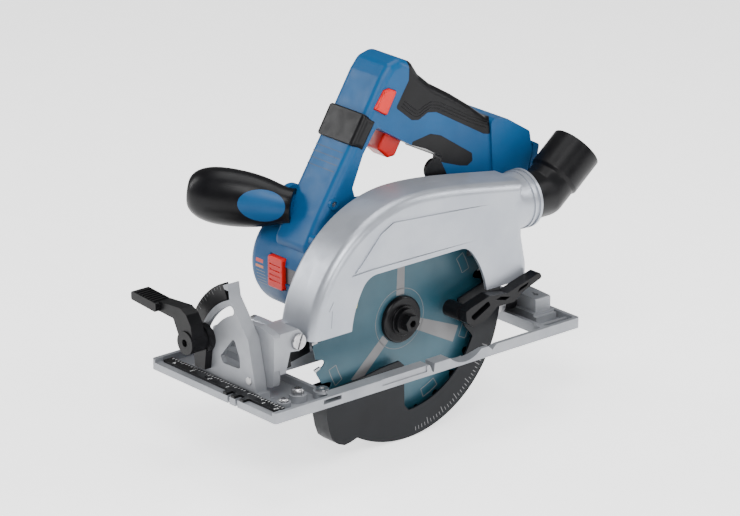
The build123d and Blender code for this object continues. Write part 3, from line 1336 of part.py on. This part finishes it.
with BuildPart() as trigger_switch:
    with BuildSketch(side(-34.5)):
        closed_face([(-24.4, 170.4), (-41.0, 160.8), (-48.5, 172.2), (-38.5, 185.0), (-29.0, 181.0)])
    extrude(amount=19.0)
save(trigger_switch.part, "trigger_switch")

# ================================================================ controls
with BuildPart() as trigger:
    with BuildSketch(side(TRIGGER_LEFT)):
        with BuildLine():
            FilletPolyline(*TRIGGER, radius=2.8, close=True)
        make_face()
    extrude(amount=TRIGGER_LEFT - TRIGGER_RIGHT)
    for end in (trigger.faces().sort_by(Axis.Y)[0], trigger.faces().sort_by(Axis.Y)[-1]):
        fillet(end.outer_wire().edges(), 2.2)
save(trigger.part, "trigger")

with BuildPart() as lock_off:
    with BuildSketch(side(LOCK_OUT)):
        closed_face(LOCK)
    extrude(amount=LOCK_OUT - LOCK_IN)
    chamfer(lock_off.faces().sort_by(Axis.Y)[-1].edges(), 0.8)
save(lock_off.part, "lock_off_button")

with BuildPart() as lock_button:
    with BuildSketch(face_on(64.2)):
        with Locations((-53.4, MOTOR_Z)):
            RectangleRounded(17.0, 24.0, 2)
    extrude(amount=7.4)
    fillet(lock_button.faces().sort_by(Axis.X)[-1].edges(), 1.2)
    # ribs for the thumb
    with BuildSketch(face_on(71.0)):
        for z in (-6, -2, 2, 6):
            with Locations((-53.4, MOTOR_Z + z)):
                Rectangle(12.0, 1.2)
    extrude(amount=2, mode=Mode.SUBTRACT)
save(lock_button.part, "spindle_lock_button")

with BuildPart() as lock_plate:
    with BuildSketch(face_on(67.0)):
        with Locations((-31.2, MOTOR_Z)):
            Rectangle(27.4, 12.0)
    extrude(amount=1.6)
    with BuildSketch(side(-17.7)):
        with Locations((58.2, MOTOR_Z)):
            Rectangle(20.8, 12.0)
    extrude(amount=1.5)
save(lock_plate.part, "spindle_lock_plate")

with BuildPart() as depth_bolt:
    with BuildSketch(side(GUARD_RIGHT + 2.6)):
        with Locations(DEPTH_BOLT):
            Circle(DEPTH_BOLT_R)
    extrude(amount=38.5 + GUARD_RIGHT + 2.6)
    with BuildSketch(side(GUARD_RIGHT + GUARD_WALL + 2.2)):
        with Locations(DEPTH_BOLT):
            RegularPolygon(5.2, 6)
    extrude(amount=2.2)
save(depth_bolt.part, "depth_clamp_bolt")

with BuildPart() as depth_lever:
    with BuildSketch(side(-26.0)):
        with Locations(DEPTH_BOLT):
            Circle(9.0)
    extrude(amount=12.0)
    with BuildSketch(side(-27.0)):
        tip = polar(DEPTH_BOLT, 44, 150)
        closed_face([polar(DEPTH_BOLT, 8.4, 235), polar(DEPTH_BOLT, 8.4, 65), polar(tip, 6.0, 65),
                     polar(tip, 6.0, 235)])
        with Locations(tip):
            Circle(6.0)
    extrude(amount=6.0)
    with BuildSketch(side(-20)):
        with Locations(DEPTH_BOLT):
            Circle(DEPTH_BOLT_R + RUN)
    extrude(amount=30, mode=Mode.SUBTRACT)
save(depth_lever.part, "depth_lock_lever")

# ================================================================ front handle
AUX_ROOT = (57.0, -63.0, 112.0)
AUX_DIR = (0.568, -0.8205, 0.06)


def aux_plane(along, lift):
    """A plane across the handle's axis; its sketch axes are forward-ish and up."""
    at = tuple(AUX_ROOT[i] + along * AUX_DIR[i] for i in range(3))
    return Plane(origin=(at[0], at[1], at[2] + lift), x_dir=(0.8205, 0.568, 0), z_dir=AUX_DIR)


AUX_SECTIONS = ((-9, 12.5, 13.0), (4, 13.5, 15.5), (20, 16.2, 19.6), (38, 17.6, 21.2), (54, 16.8, 20.2),
                (63, 14.0, 17.0), (68.5, 9.6, 11.6))


def aux_body(inset, first, last):
    with BuildPart() as made:
        for along, wide, tall in AUX_SECTIONS[first:last]:
            with BuildSketch(aux_plane(along, 0)):
                Ellipse(wide - inset, tall - inset)
        loft()
    return made.part


AUX_OUTER = aux_body(0, 0, 7)
AUX_INNER = aux_body(4.0, 0, 6)
with BuildPart() as oval_tool:
    with BuildSketch(Plane(origin=(59.0, -75.0, 109.0), x_dir=(0.568, -0.8205, 0), z_dir=(0.78, 0.54, 0.3))):
        Ellipse(17.0, 11.5)
    extrude(amount=30)

with BuildPart() as aux_core:
    add(AUX_OUTER)
    add(oval_tool.part, mode=Mode.INTERSECT)
    add(AUX_INNER)
    add(housing_form.part, mode=Mode.SUBTRACT)
save(aux_core.part, "front_handle_core")

with BuildPart() as aux_grip:
    add(AUX_OUTER)
    add(aux_core.part, mode=Mode.SUBTRACT)
    add(housing_form.part, mode=Mode.SUBTRACT)
save(aux_grip.part, "front_handle_grip")

# ================================================================ dust elbow
BEND = (-138.0, PORT_Y, PORT_Z)
OUT_DIR = (-math.cos(math.radians(ELBOW_BEND)), 0.0, math.sin(math.radians(ELBOW_BEND)))
OUT_LONG = 43.6


def outlet_plane(along):
    at = tuple(BEND[i] + along * OUT_DIR[i] for i in range(3))
    return Plane(origin=at, x_dir=(0, 1, 0), z_dir=OUT_DIR)


with BuildPart() as dust_elbow:
    with BuildSketch(face_on(BEND[0])):
        with Locations((PORT_Y, PORT_Z)):
            Circle(ELBOW_R)
    extrude(amount=28.0)
    with BuildSketch(outlet_plane(0)):
        Circle(ELBOW_R)
    extrude(amount=17.0)
    with Locations(BEND):
        Sphere(ELBOW_R)
    with BuildSketch(outlet_plane(13.0)):
        Circle(ELBOW_R)
    with BuildSketch(outlet_plane(15.2)):
        Circle(OUTLET_R)
    loft()
    with BuildSketch(outlet_plane(15.2)):
        Circle(OUTLET_R)
    extrude(amount=OUT_LONG - 15.2)
    # bore
    with BuildSketch(face_on(BEND[0])):
        with Locations((PORT_Y, PORT_Z)):
            Circle(15.6)
    extrude(amount=30.0, mode=Mode.SUBTRACT)
    with Locations(BEND):
        Sphere(15.6, mode=Mode.SUBTRACT)
    with BuildSketch(outlet_plane(0)):
        Circle(15.6)
    extrude(amount=30.0, mode=Mode.SUBTRACT)
    with BuildSketch(outlet_plane(OUT_LONG - 20.0)):
        Circle(HOSE_R)
    extrude(amount=24.0, mode=Mode.SUBTRACT)
save(dust_elbow.part, "dust_elbow")

HOUSING_SCREWS = []
for x, z in ((41.0, 119.0), (58.0, 95.0)):
    with BuildPart() as screw:
        with BuildSketch(side(HAND_LEFT - 0.6)):
            with Locations((x, z)):
                Circle(2.4)
        extrude(amount=1.2)
        with BuildSketch(side(HAND_LEFT - 0.5)):
            with Locations((x, z)):
                Rectangle(3.2, 0.8)
        extrude(amount=0.7, mode=Mode.SUBTRACT)
    HOUSING_SCREWS.append(screw.part)
save(Compound(children=HOUSING_SCREWS), "housing_screws")
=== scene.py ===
"""Looks of the cordless circular saw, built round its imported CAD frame. Metres, +X the direction of cut."""

import json
import math

import bmesh
import bpy
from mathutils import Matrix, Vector


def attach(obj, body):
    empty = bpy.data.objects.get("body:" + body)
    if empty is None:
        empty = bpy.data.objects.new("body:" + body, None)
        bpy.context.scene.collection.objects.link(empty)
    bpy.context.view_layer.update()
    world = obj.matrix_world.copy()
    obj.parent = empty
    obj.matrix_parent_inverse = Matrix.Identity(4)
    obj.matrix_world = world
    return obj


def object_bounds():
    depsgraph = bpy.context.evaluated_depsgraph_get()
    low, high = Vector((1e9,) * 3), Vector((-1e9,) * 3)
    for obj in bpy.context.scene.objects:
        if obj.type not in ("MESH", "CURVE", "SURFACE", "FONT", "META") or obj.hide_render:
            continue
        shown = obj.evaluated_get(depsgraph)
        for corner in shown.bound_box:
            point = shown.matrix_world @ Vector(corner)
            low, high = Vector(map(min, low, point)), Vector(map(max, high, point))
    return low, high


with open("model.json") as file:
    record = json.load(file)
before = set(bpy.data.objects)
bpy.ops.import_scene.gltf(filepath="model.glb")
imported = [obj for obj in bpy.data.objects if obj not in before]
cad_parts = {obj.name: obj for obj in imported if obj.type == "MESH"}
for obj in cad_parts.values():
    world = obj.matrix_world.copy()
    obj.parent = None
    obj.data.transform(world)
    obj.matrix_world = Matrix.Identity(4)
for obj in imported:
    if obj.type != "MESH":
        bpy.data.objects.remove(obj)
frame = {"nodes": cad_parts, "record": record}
cad_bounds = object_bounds()
NODES = frame["nodes"]
MM = 0.001


# ---------------- materials
def new_material(name):
    material = bpy.data.materials.new(name)
    material.use_nodes = True
    tree = material.node_tree
    shader = tree.nodes["Principled BSDF"]
    coords = tree.nodes.new("ShaderNodeTexCoord")
    return material, tree, shader, coords


def noise(tree, coords, scale, detail=4.0, rough=0.55):
    node = tree.nodes.new("ShaderNodeTexNoise")
    node.inputs["Scale"].default_value = scale
    node.inputs["Detail"].default_value = detail
    node.inputs["Roughness"].default_value = rough
    tree.links.new(coords.outputs["Object"], node.inputs["Vector"])
    return node


def tinted(tree, source, low, high, start=0.3, end=0.7):
    ramp = tree.nodes.new("ShaderNodeValToRGB")
    ramp.color_ramp.elements[0].position = start
    ramp.color_ramp.elements[1].position = end
    ramp.color_ramp.elements[0].color = (*low, 1)
    ramp.color_ramp.elements[1].color = (*high, 1)
    tree.links.new(source.outputs["Fac"], ramp.inputs["Fac"])
    return ramp


def ranged(tree, source, low, high):
    node = tree.nodes.new("ShaderNodeMapRange")
    node.inputs["From Min"].default_value = 0.3
    node.inputs["From Max"].default_value = 0.7
    node.inputs["To Min"].default_value = low
    node.inputs["To Max"].default_value = high
    tree.links.new(source.outputs["Fac"], node.inputs["Value"])
    return node


def bumped(tree, shader, source, strength, distance):
    bump = tree.nodes.new("ShaderNodeBump")
    bump.inputs["Strength"].default_value = strength
    bump.inputs["Distance"].default_value = distance
    tree.links.new(source.outputs["Fac"], bump.inputs["Height"])
    tree.links.new(bump.outputs["Normal"], shader.inputs["Normal"])


def surface(name, low, high, rough, metal=0.0, grain=900.0, relief=0.25, depth=0.00004, cloud=35.0,
            coat=0.0, shine=0.5, glow=0.0):
    """A moulded, cast or painted surface: cloudy tone, uneven gloss and a fine grain."""
    material, tree, shader, coords = new_material(name)
    shader.inputs["Metallic"].default_value = metal
    shader.inputs["Coat Weight"].default_value = coat
    shader.inputs["Coat Roughness"].default_value = 0.12
    shader.inputs["Specular IOR Level"].default_value = shine
    shader.inputs["Emission Color"].default_value = (1, 1, 1, 1)
    shader.inputs["Emission Strength"].default_value = glow
    clouds = noise(tree, coords, cloud, 3.0)
    tree.links.new(tinted(tree, clouds, low, high).outputs["Color"], shader.inputs["Base Color"])
    patches = noise(tree, coords, cloud * 3.1, 4.0)
    tree.links.new(ranged(tree, patches, rough[0], rough[1]).outputs["Result"], shader.inputs["Roughness"])
    bumped(tree, shader, noise(tree, coords, grain, 3.0), relief, depth)
    return material


def brushed(name, low, high, rough, stretch, metal=1.0):
    """Turned or ground steel with fine lines along one axis."""
    material, tree, shader, coords = new_material(name)
    shader.inputs["Metallic"].default_value = metal
    mapping = tree.nodes.new("ShaderNodeMapping")
    mapping.inputs["Scale"].default_value = stretch
    tree.links.new(coords.outputs["Object"], mapping.inputs["Vector"])
    lines = tree.nodes.new("ShaderNodeTexNoise")
    lines.inputs["Scale"].default_value = 240.0
    lines.inputs["Detail"].default_value = 4.0
    tree.links.new(mapping.outputs["Vector"], lines.inputs["Vector"])
    tree.links.new(tinted(tree, lines, low, high).outputs["Color"], shader.inputs["Base Color"])
    tree.links.new(ranged(tree, lines, rough[0], rough[1]).outputs["Result"], shader.inputs["Roughness"])
    bumped(tree, shader, lines, 0.2, 0.00002)
    return material


BLUE = surface("housing_blue", (0.0, 0.052, 0.150), (0.001, 0.064, 0.180), (0.38, 0.48), grain=1500,
               relief=0.12, coat=0.0, shine=0.25)
# darker copy of the housing blue: painted shade, used for the strut grooves
BLUE_GROOVE_SHADE = surface("blue_groove_shade", (0.0, 0.026, 0.075), (0.001, 0.034, 0.095), (0.40, 0.50), grain=1500)
SILVER = surface("guard_silver", (0.31, 0.33, 0.37), (0.36, 0.38, 0.42), (0.32, 0.42), metal=0.6,
                 grain=1300, relief=0.14)
CAST = surface("cast_silver", (0.22, 0.23, 0.25), (0.28, 0.29, 0.31), (0.40, 0.52), metal=0.5, grain=700,
               relief=0.3, depth=0.00006)
BLACK = surface("black_plastic", (0.003, 0.003, 0.0035), (0.006, 0.006, 0.007), (0.30, 0.42), grain=1700,
                relief=0.2, shine=0.16)
RUBBER = surface("black_rubber", (0.002, 0.002, 0.0025), (0.004, 0.004, 0.005), (0.28, 0.38), grain=1200,
                 relief=0.2, depth=0.00004, shine=0.16)
GUARD_BLACK = surface("guard_black", (0.002, 0.0025, 0.004), (0.004, 0.005, 0.007), (0.30, 0.42),
                      metal=0.0, grain=900, relief=0.2, shine=0.16)
RED = surface("red_plastic", (0.50, 0.006, 0.004), (0.58, 0.010, 0.006), (0.30, 0.40), grain=1400,
              relief=0.1, coat=0.1, shine=0.2)
BLADE = surface("blade_coat", (0.010, 0.048, 0.070), (0.014, 0.060, 0.086), (0.32, 0.44), metal=0.15,
                grain=2200, relief=0.1)
CARBIDE = brushed("carbide", (0.28, 0.29, 0.30), (0.48, 0.49, 0.50), (0.25, 0.45), (1, 6, 1))
STEEL = brushed("steel", (0.30, 0.30, 0.31), (0.52, 0.52, 0.53), (0.24, 0.42), (1, 9, 1))
BLACK_STEEL = surface("black_steel", (0.003, 0.003, 0.0035), (0.007, 0.007, 0.008), (0.26, 0.40),
                      metal=0.2, grain=800, relief=0.15, shine=0.2)
LAMINATION = surface("lamination", (0.10, 0.10, 0.11), (0.20, 0.20, 0.21), (0.45, 0.6), metal=0.8,
                     grain=500)
COPPER = brushed("copper", (0.50, 0.20, 0.09), (0.72, 0.33, 0.15), (0.25, 0.4), (1, 12, 1))
BOARD = surface("board", (0.01, 0.06, 0.025), (0.015, 0.09, 0.035), (0.4, 0.55), grain=600)
DARK_STRIP = brushed("dark_strip", (0.05, 0.05, 0.055), (0.09, 0.09, 0.095), (0.30, 0.42), (1, 1, 10),
                     metal=0.8)
PRINT_WHITE = surface("print_white", (0.62, 0.63, 0.64), (0.78, 0.79, 0.80), (0.45, 0.6), grain=1800,
                      relief=0.05)
# grey for the printed ticks, lines and outlines, and also for the painted reflection rays on the blade
PRINT_AND_REFLECTION_GREY = surface("print_and_reflection_grey", (0.105, 0.105, 0.108), (0.135, 0.135, 0.14), (0.36, 0.46), grain=1800,
                     relief=0.05)
PATCH_RED = surface("patch_red", (0.42, 0.03, 0.02), (0.50, 0.04, 0.03), (0.4, 0.5), grain=1800,
                    relief=0.05)
PATCH_ORANGE = surface("patch_orange", (0.42, 0.11, 0.03), (0.50, 0.14, 0.04), (0.4, 0.5), grain=1800,
                       relief=0.05)
PATCH_YELLOW = surface("patch_yellow", (0.66, 0.60, 0.05), (0.74, 0.68, 0.07), (0.4, 0.5), grain=1800,
                       relief=0.05)
FLOOR = surface("floor", (0.88, 0.88, 0.88), (0.91, 0.91, 0.91), (0.6, 0.7), grain=300, relief=0.05,
                glow=1.4)

LOOK = {
    "housing_blue": BLUE, "guard_silver": SILVER, "cast_silver": CAST, "black_plastic": BLACK,
    "black_rubber": RUBBER, "guard_black": GUARD_BLACK, "red_plastic": RED, "blade_coat": BLADE,
    "carbide": CARBIDE, "steel": STEEL, "black_steel": BLACK_STEEL, "lamination": LAMINATION,
    "copper": COPPER, "board": BOARD,
}


def dress(obj, material):
    obj.data.materials.clear()
    obj.data.materials.append(material)
    for face in obj.data.polygons:
        face.material_index = 0


def soften(obj, width, angle=32.0, segments=3):
    """Rounded edges without touching the mesh itself."""
    weld = obj.modifiers.new("weld", "WELD")
    weld.merge_threshold = 0.000002
    bevel = obj.modifiers.new("edges", "BEVEL")
    bevel.width = width
    bevel.segments = segments
    bevel.limit_method = "ANGLE"
    bevel.angle_limit = math.radians(angle)
    bevel.use_clamp_overlap = True
    bevel.miter_outer = "MITER_ARC"
    normals = obj.modifiers.new("normals", "WEIGHTED_NORMAL")
    normals.keep_sharp = True


EDGES = {
    "base_plate": 0.5, "bevel_quadrant": 0.9, "rear_pivot_block": 0.8, "tilt_bracket": 1.2,
    "bevel_clamp_lever": 1.3, "guard_lift_lever": 1.2, "depth_bracket": 0.6, "depth_lock_lever": 1.2,
    "upper_guard_cover": 0.4, "upper_guard_back": 0.5, "housing_left": 0.4, "housing_right": 0.4,
    "motor_end_cap": 0.5, "strut_band": 0.7, "trigger": 1.8, "lock_off_button": 0.9,
    "spindle_lock_button": 0.8,
    "lower_guard": 0.4, "blade_bolt": 0.4, "outer_flange": 0.4, "dust_elbow": 0.5, "battery_rails": 0.8,
    "grip_pad_upper": 0.25, "grip_pad_lower": 0.25, "front_scale": 0.25, "bevel_scale": 0.4, "gear_case": 0.8,
    "gear_case_cover": 0.8, "bevel_clamp_bolt": 0.3, "base_screws": 0.15,
    "depth_pivot_pin": 0.2, "chip_deflector": 0.4,
}
SLOT_OF = {part["node"]: part["material_slot"] for part in frame["record"]["subparts"]}
for label, obj in NODES.items():
    dress(obj, DARK_STRIP if label == "spindle_lock_plate" else LOOK[SLOT_OF[label]])
    for face in obj.data.polygons:
        face.use_smooth = True
    if label in EDGES:
        soften(obj, EDGES[label] * MM)


# ---------------- helpers for added pieces
def mesh_object(name, verts, faces, material, body, smooth=False):
    mesh = bpy.data.meshes.new(name)
    mesh.from_pydata([tuple(v) for v in verts], [], faces)
    mesh.update()
    obj = bpy.data.objects.new(name, mesh)
    bpy.context.scene.collection.objects.link(obj)
    dress(obj, material)
    for face in mesh.polygons:
        face.use_smooth = smooth
    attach(obj, body)
    return obj


def side_point(y):
    """Maps (x, z) in millimetres to the side view plane at height y."""
    return lambda x, z: Vector((x * MM, y * MM, z * MM))


def flat_shapes(name, outlines, place, thick, normal, material, body):
    """Several flat plates in one mesh: each outline is a list of (a, b) in millimetres."""
    verts, faces = [], []
    lift = Vector(normal) * thick * MM
    for outline in outlines:
        start = len(verts)
        count = len(outline)
        base = [place(a, b) for a, b in outline]
        verts += base + [v + lift for v in base]
        faces.append([start + count + i for i in range(count)])
        faces.append([start + i for i in reversed(range(count))])
        faces += [[start + i, start + (i + 1) % count, start + count + (i + 1) % count, start + count + i]
                  for i in range(count)]
    obj = mesh_object(name, verts, faces, material, body)
    fix = bmesh.new()
    fix.from_mesh(obj.data)
    bmesh.ops.recalc_face_normals(fix, faces=fix.faces)
    fix.to_mesh(obj.data)
    fix.free()
    return obj


def bar(a, b, width):
    """Outline of a straight stroke from a to b."""
    along = Vector((b[0] - a[0], b[1] - a[1])).normalized() * width / 2
    across = Vector((-along[1], along[0]))
    return [(a[0] + across[0], a[1] + across[1]), (a[0] - across[0], a[1] - across[1]),
            (b[0] - across[0], b[1] - across[1]), (b[0] + across[0], b[1] + across[1])]


def arc_band(centre, inner, outer, start, end, steps=24):
    angles = [math.radians(start + (end - start) * i / steps) for i in range(steps + 1)]
    out = [(centre[0] + outer * math.cos(a), centre[1] + outer * math.sin(a)) for a in angles]
    back = [(centre[0] + inner * math.cos(a), centre[1] + inner * math.sin(a)) for a in reversed(angles)]
    return out + back


# strokes of plain digits on a 2 x 4 grid, for the graduations
DIGITS = {
    "1": ((1, 0, 1, 4), (0.2, 3.2, 1, 4)),
    "2": ((0, 4, 2, 4), (2, 4, 2, 2), (2, 2, 0, 2), (0, 2, 0, 0), (0, 0, 2, 0)),
    "3": ((0, 4, 2, 4), (2, 4, 2, 0), (2, 0, 0, 0), (0, 2, 2, 2)),
    "4": ((0, 4, 0, 2), (0, 2, 2, 2), (2, 4, 2, 0)),
}


def digit_bars(text, origin, right, up, size, width):
    """Strokes of a number; right and up are unit directions in the outline's own plane."""
    outlines = []
    for place, mark in enumerate(text):
        for x0, y0, x1, y1 in DIGITS[mark]:
            ends = []
            for x, y in ((x0, y0), (x1, y1)):
                across, rise = (x + place * 3.0) * size / 4, y * size / 4
                ends.append((origin[0] + right[0] * across + up[0] * rise,
                             origin[1] + right[1] * across + up[1] * rise))
            outlines.append(bar(ends[0], ends[1], width))
    return outlines


ARBOR = (0.0, 29.0)
HAND_LEFT = -24.0
MOTOR_R = 38.0
LOW_HALF = 8.3
MOTOR = (32.0, 66.0)
BLADE_FACE = 0.56
RING_FACE = 136.01
SCALE_TOP = 7.21
# thickness of the printed marks on the blade and of the painted reflection rays
PRINT_AND_REFLECTION_FILM = 0.03
TICK = 0.05
BEVEL = (-3.0, 15.0)

# ---------------- front scale: ticks and numbers
top_of_scale = lambda a, b: Vector((a * MM, b * MM, SCALE_TOP * MM))
ticks = []
for step in range(-29, 13):
    y = step * 3.0
    if -1.6 < y + 4.3 < 1.6:
        continue
    long_tick = step % 5 == 0
    ticks.append(bar((137.6, y), (140.6 if long_tick else 139.4, y), 0.42))
for number, y in (("4", -80.0), ("3", -60.0), ("2", -40.0), ("1", -20.0), ("1", 20.0), ("2", 34.0)):
    ticks += digit_bars(number, (141.4, y + 1.0), (0, -1), (1, 0), 3.0, 0.42)
flat_shapes("front_scale_ticks", ticks, top_of_scale, TICK, (0, 0, 1), PRINT_WHITE, "base")

# ---------------- protractor ticks
face_of_ring = lambda a, b: Vector((RING_FACE * MM, a * MM, b * MM))
marks = []
for degrees in range(28, 64, 3):
    tall = (degrees - 28) % 9 == 0
    angle = math.radians(90 + degrees)
    out, start = 70.4, 66.6 if tall else 68.4
    marks.append(bar((BEVEL[0] + start * math.cos(angle), BEVEL[1] + start * math.sin(angle)),
                     (BEVEL[0] + out * math.cos(angle), BEVEL[1] + out * math.sin(angle)), 0.35))
flat_shapes("protractor_ticks", marks, face_of_ring, TICK, (1, 0, 0), PRINT_AND_REFLECTION_GREY, "base")

# ---------------- blade: grey rays that are a painted reflection, and printed rings and outlines
blade_face = side_point(BLADE_FACE)
rays = []
# three grey rays spreading out from the hub: painted reflection streaks of light on the blade, not print
for centre_angle, spread_in, spread_out, reach in ((92, 12, 3.2, 56), (205, 14, 6.0, 60), (318, 12, 4.4, 58)):
    inner = [(ARBOR[0] + 18.2 * math.cos(math.radians(centre_angle + s)),
              ARBOR[1] + 18.2 * math.sin(math.radians(centre_angle + s))) for s in (-spread_in, spread_in)]
    outer = [(ARBOR[0] + reach * math.cos(math.radians(centre_angle + s)),
              ARBOR[1] + reach * math.sin(math.radians(centre_angle + s))) for s in (spread_out, -spread_out)]
    rays.append(inner + outer)
flat_shapes("blade_reflection_rays", rays, blade_face, PRINT_AND_REFLECTION_FILM, (0, 1, 0), PRINT_AND_REFLECTION_GREY, "blade")
outlines = []
for degrees in (20, 65, 110, 155, 200, 245, 290, 335):
    outlines.append(arc_band(ARBOR, 70.2, 70.8, degrees - 6, degrees + 6, 10))
    outlines.append(arc_band(ARBOR, 63.2, 63.8, degrees - 6, degrees + 6, 10))
    for edge in (-6.2, 5.8):
        outlines.append(arc_band(ARBOR, 63.6, 70.4, degrees + edge, degrees + edge + 0.5, 2))
outlines += [arc_band(ARBOR, 22.6, 23.0, 0, 359.99, 72)]
flat_shapes("blade_outlines", outlines, blade_face, PRINT_AND_REFLECTION_FILM, (0, 1, 0), PRINT_AND_REFLECTION_GREY, "blade")

ACCENT = [(37.6, 59.4), (47.2, 57.6), (40.6, 46.8)]
flat_shapes("blade_accent", [ACCENT], blade_face, PRINT_AND_REFLECTION_FILM, (0, 1, 0), PATCH_YELLOW, "blade")

# ---------------- lower guard: depth ticks on the rear band
guard_face = side_point(LOW_HALF)
ticks = []
for count, degrees in enumerate(range(206, 266, 2)):
    angle = math.radians(degrees)
    start, end = (82.0 if count % 5 == 0 else 84.5), 87.5
    ticks.append(bar((start * math.cos(angle), ARBOR[1] + start * math.sin(angle)),
                     (end * math.cos(angle), ARBOR[1] + end * math.sin(angle)), 0.5))
flat_shapes("guard_ticks", ticks, guard_face, TICK, (0, 1, 0), PRINT_AND_REFLECTION_GREY, "lower_guard")


# ---------------- moulded lines
def tube(name, paths, radius, material, body, closed=False):
    """Thin raised lines: paths are lists of points in millimetres."""
    verts, faces = [], []
    for path in paths:
        points = [Vector(p) * MM for p in path]
        count = len(points)
        for i, point in enumerate(points):
            before = points[i - 1] if i or closed else point
            after = points[(i + 1) % count] if i < count - 1 or closed else point
            along = (after - before).normalized()
            side = along.cross(Vector((0.3, 0.2, 0.93))).normalized()
            rise = side.cross(along).normalized()
            start = len(verts)
            turns = [k * math.pi / 3 for k in range(6)]
            verts += [point + (side * math.cos(turn) + rise * math.sin(turn)) * radius * MM for turn in turns]
            if i:
                faces += [[start - 6 + k, start - 6 + (k + 1) % 6, start + (k + 1) % 6, start + k]
                          for k in range(6)]
        if closed:
            first = start - 6 * (count - 1)
            faces += [[start + k, start + (k + 1) % 6, first + (k + 1) % 6, first + k] for k in range(6)]
    return mesh_object(name, verts, faces, material, body, True)


def inset_path(path, distance):
    """Moves an open side view path to its left by distance."""
    moved = []
    for i, point in enumerate(path):
        before = path[max(i - 1, 0)]
        after = path[min(i + 1, len(path) - 1)]
        along = Vector((after[0] - before[0], after[1] - before[1])).normalized()
        moved.append((point[0] - along[1] * distance, point[1] + along[0] * distance))
    return moved


GRIP_EDGE = [(-104.0, 143.2), (-88.0, 150.6), (-72.0, 159.4), (-56.5, 168.0), (-51.0, 169.6), (-46.5, 168.2),
             (-40.5, 165.6), (-34.5, 166.6), (-27.5, 171.8), (-21.5, 177.0)]
lines = [[(x, HAND_LEFT, z) for x, z in inset_path(GRIP_EDGE, distance)] for distance in (2.2, 4.4, 6.6)]
tube("grip_contours", lines, 0.35, BLACK, "saw")

# grooves across the strut below the band, as darker blue strips: painted shade in the grooves
STRUT_TOP = Vector((23.9, 0, 156.8))
STRUT_DOWN = Vector((0.542, 0, -0.840))
STRUT_OUT = Vector((0.840, 0, 0.542))
on_strut = lambda a, b: (STRUT_TOP + STRUT_DOWN * b + Vector((0, a, 0))) * MM
grooves = [bar((-60.5, d), (-31.0, d), 0.8) for d in (5.0, 10.0, 15.0, 20.0)]
flat_shapes("strut_grooves", grooves, on_strut, 0.04, STRUT_OUT, BLUE_GROOVE_SHADE, "saw")
# seam round the front handle
ROOT, OUT = Vector((57.0, -63.0, 112.0)), Vector((0.568, -0.8205, 0.06))
ACROSS, UP = Vector((0.8205, 0.568, 0)), Vector((-0.034, 0.049, 0.998))
seam = []
for i in range(60):
    angle = math.tau * i / 60
    across, rise = ACROSS * (17.25 * math.cos(angle)), UP * (20.75 * math.sin(angle))
    seam.append(tuple(ROOT + OUT * 46 + across + rise))
tube("handle_seam", [seam], 0.12, BLACK, "saw", closed=True)


# ---------------- rating label on the motor barrel, without text
def on_barrel(turn, y):
    angle = math.radians(turn)
    x = MOTOR[0] + MOTOR_R * math.cos(angle)
    z = MOTOR[1] + MOTOR_R * math.sin(angle)
    return Vector((x, y, z)) * MM


def barrel_patches(name, patches, material):
    cells = []
    for low_turn, high_turn, right, left in patches:
        steps = max(1, round((high_turn - low_turn) / 2))
        size = (high_turn - low_turn) / steps
        cells += [[(low_turn + size * i, right), (low_turn + size * (i + 1), right),
                   (low_turn + size * (i + 1), left), (low_turn + size * i, left)] for i in range(steps)]
    flat_shapes(name, cells, on_barrel, 0.04, (0.95, 0, 0.1), material, "saw")


label_lines = [(turn, turn + 0.7, -77.0, -66.8) for turn in (-22, -18, -14, -10, -6)]
barrel_patches("label_lines", label_lines, PRINT_AND_REFLECTION_GREY)
barrel_patches("label_patch_a", [(4, 8, -77.0, -69.0)], PATCH_RED)
barrel_patches("label_patch_b", [(-2, 1, -77.0, -68.5)], PATCH_ORANGE)

# ---------------- stage, light and camera
mesh = bpy.data.meshes.new("floor")
ground = cad_bounds[0][2] - 0.0004
mesh.from_pydata([(-4, -4, ground), (4, -4, ground), (4, 4, ground), (-4, 4, ground)], [], [(0, 1, 2, 3)])
floor = bpy.data.objects.new("floor", mesh)
bpy.context.scene.collection.objects.link(floor)
dress(floor, FLOOR)


def area_light(name, place, target, size, power, tint=(1, 1, 1)):
    light = bpy.data.lights.new(name, "AREA")
    light.shape = "RECTANGLE"
    light.size, light.size_y = size
    light.energy = power
    light.color = tint
    obj = bpy.data.objects.new(name, light)
    obj.location = place
    obj.rotation_euler = (Vector(place) - Vector(target)).to_track_quat("Z", "Y").to_euler()
    bpy.context.scene.collection.objects.link(obj)


CENTRE = (0.0, -0.01, 0.07)
area_light("key", (1.0, 0.95, 1.5), CENTRE, (0.9, 0.9), 36)
area_light("top", (-0.15, -0.1, 1.4), CENTRE, (1.0, 1.0), 15)
area_light("front_fill", (0.2, 1.5, 0.55), CENTRE, (0.7, 0.5), 9)
area_light("edge_left", (0.9, -1.2, 0.7), CENTRE, (0.3, 0.9), 12)
area_light("edge_right", (-1.1, 0.75, 0.7), CENTRE, (0.3, 0.9), 10)
world = bpy.data.worlds.new("studio")
world.use_nodes = True
world.node_tree.nodes["Background"].inputs["Color"].default_value = (1.0, 1.0, 1.0, 1)
world.node_tree.nodes["Background"].inputs["Strength"].default_value = 0.2
bpy.context.scene.world = world

camera_data = bpy.data.cameras.new("camera")
camera_data.lens = 204.9
camera_data.sensor_width = 36.0
camera_data.clip_end = 20
camera = bpy.data.objects.new("camera", camera_data)
camera.location = (1.8593, 2.1402, 1.1146)
camera.rotation_euler = Vector((0.6105, 0.7133, 0.3442)).to_track_quat("Z", "Y").to_euler()
bpy.context.scene.collection.objects.link(camera)
bpy.context.scene.camera = camera
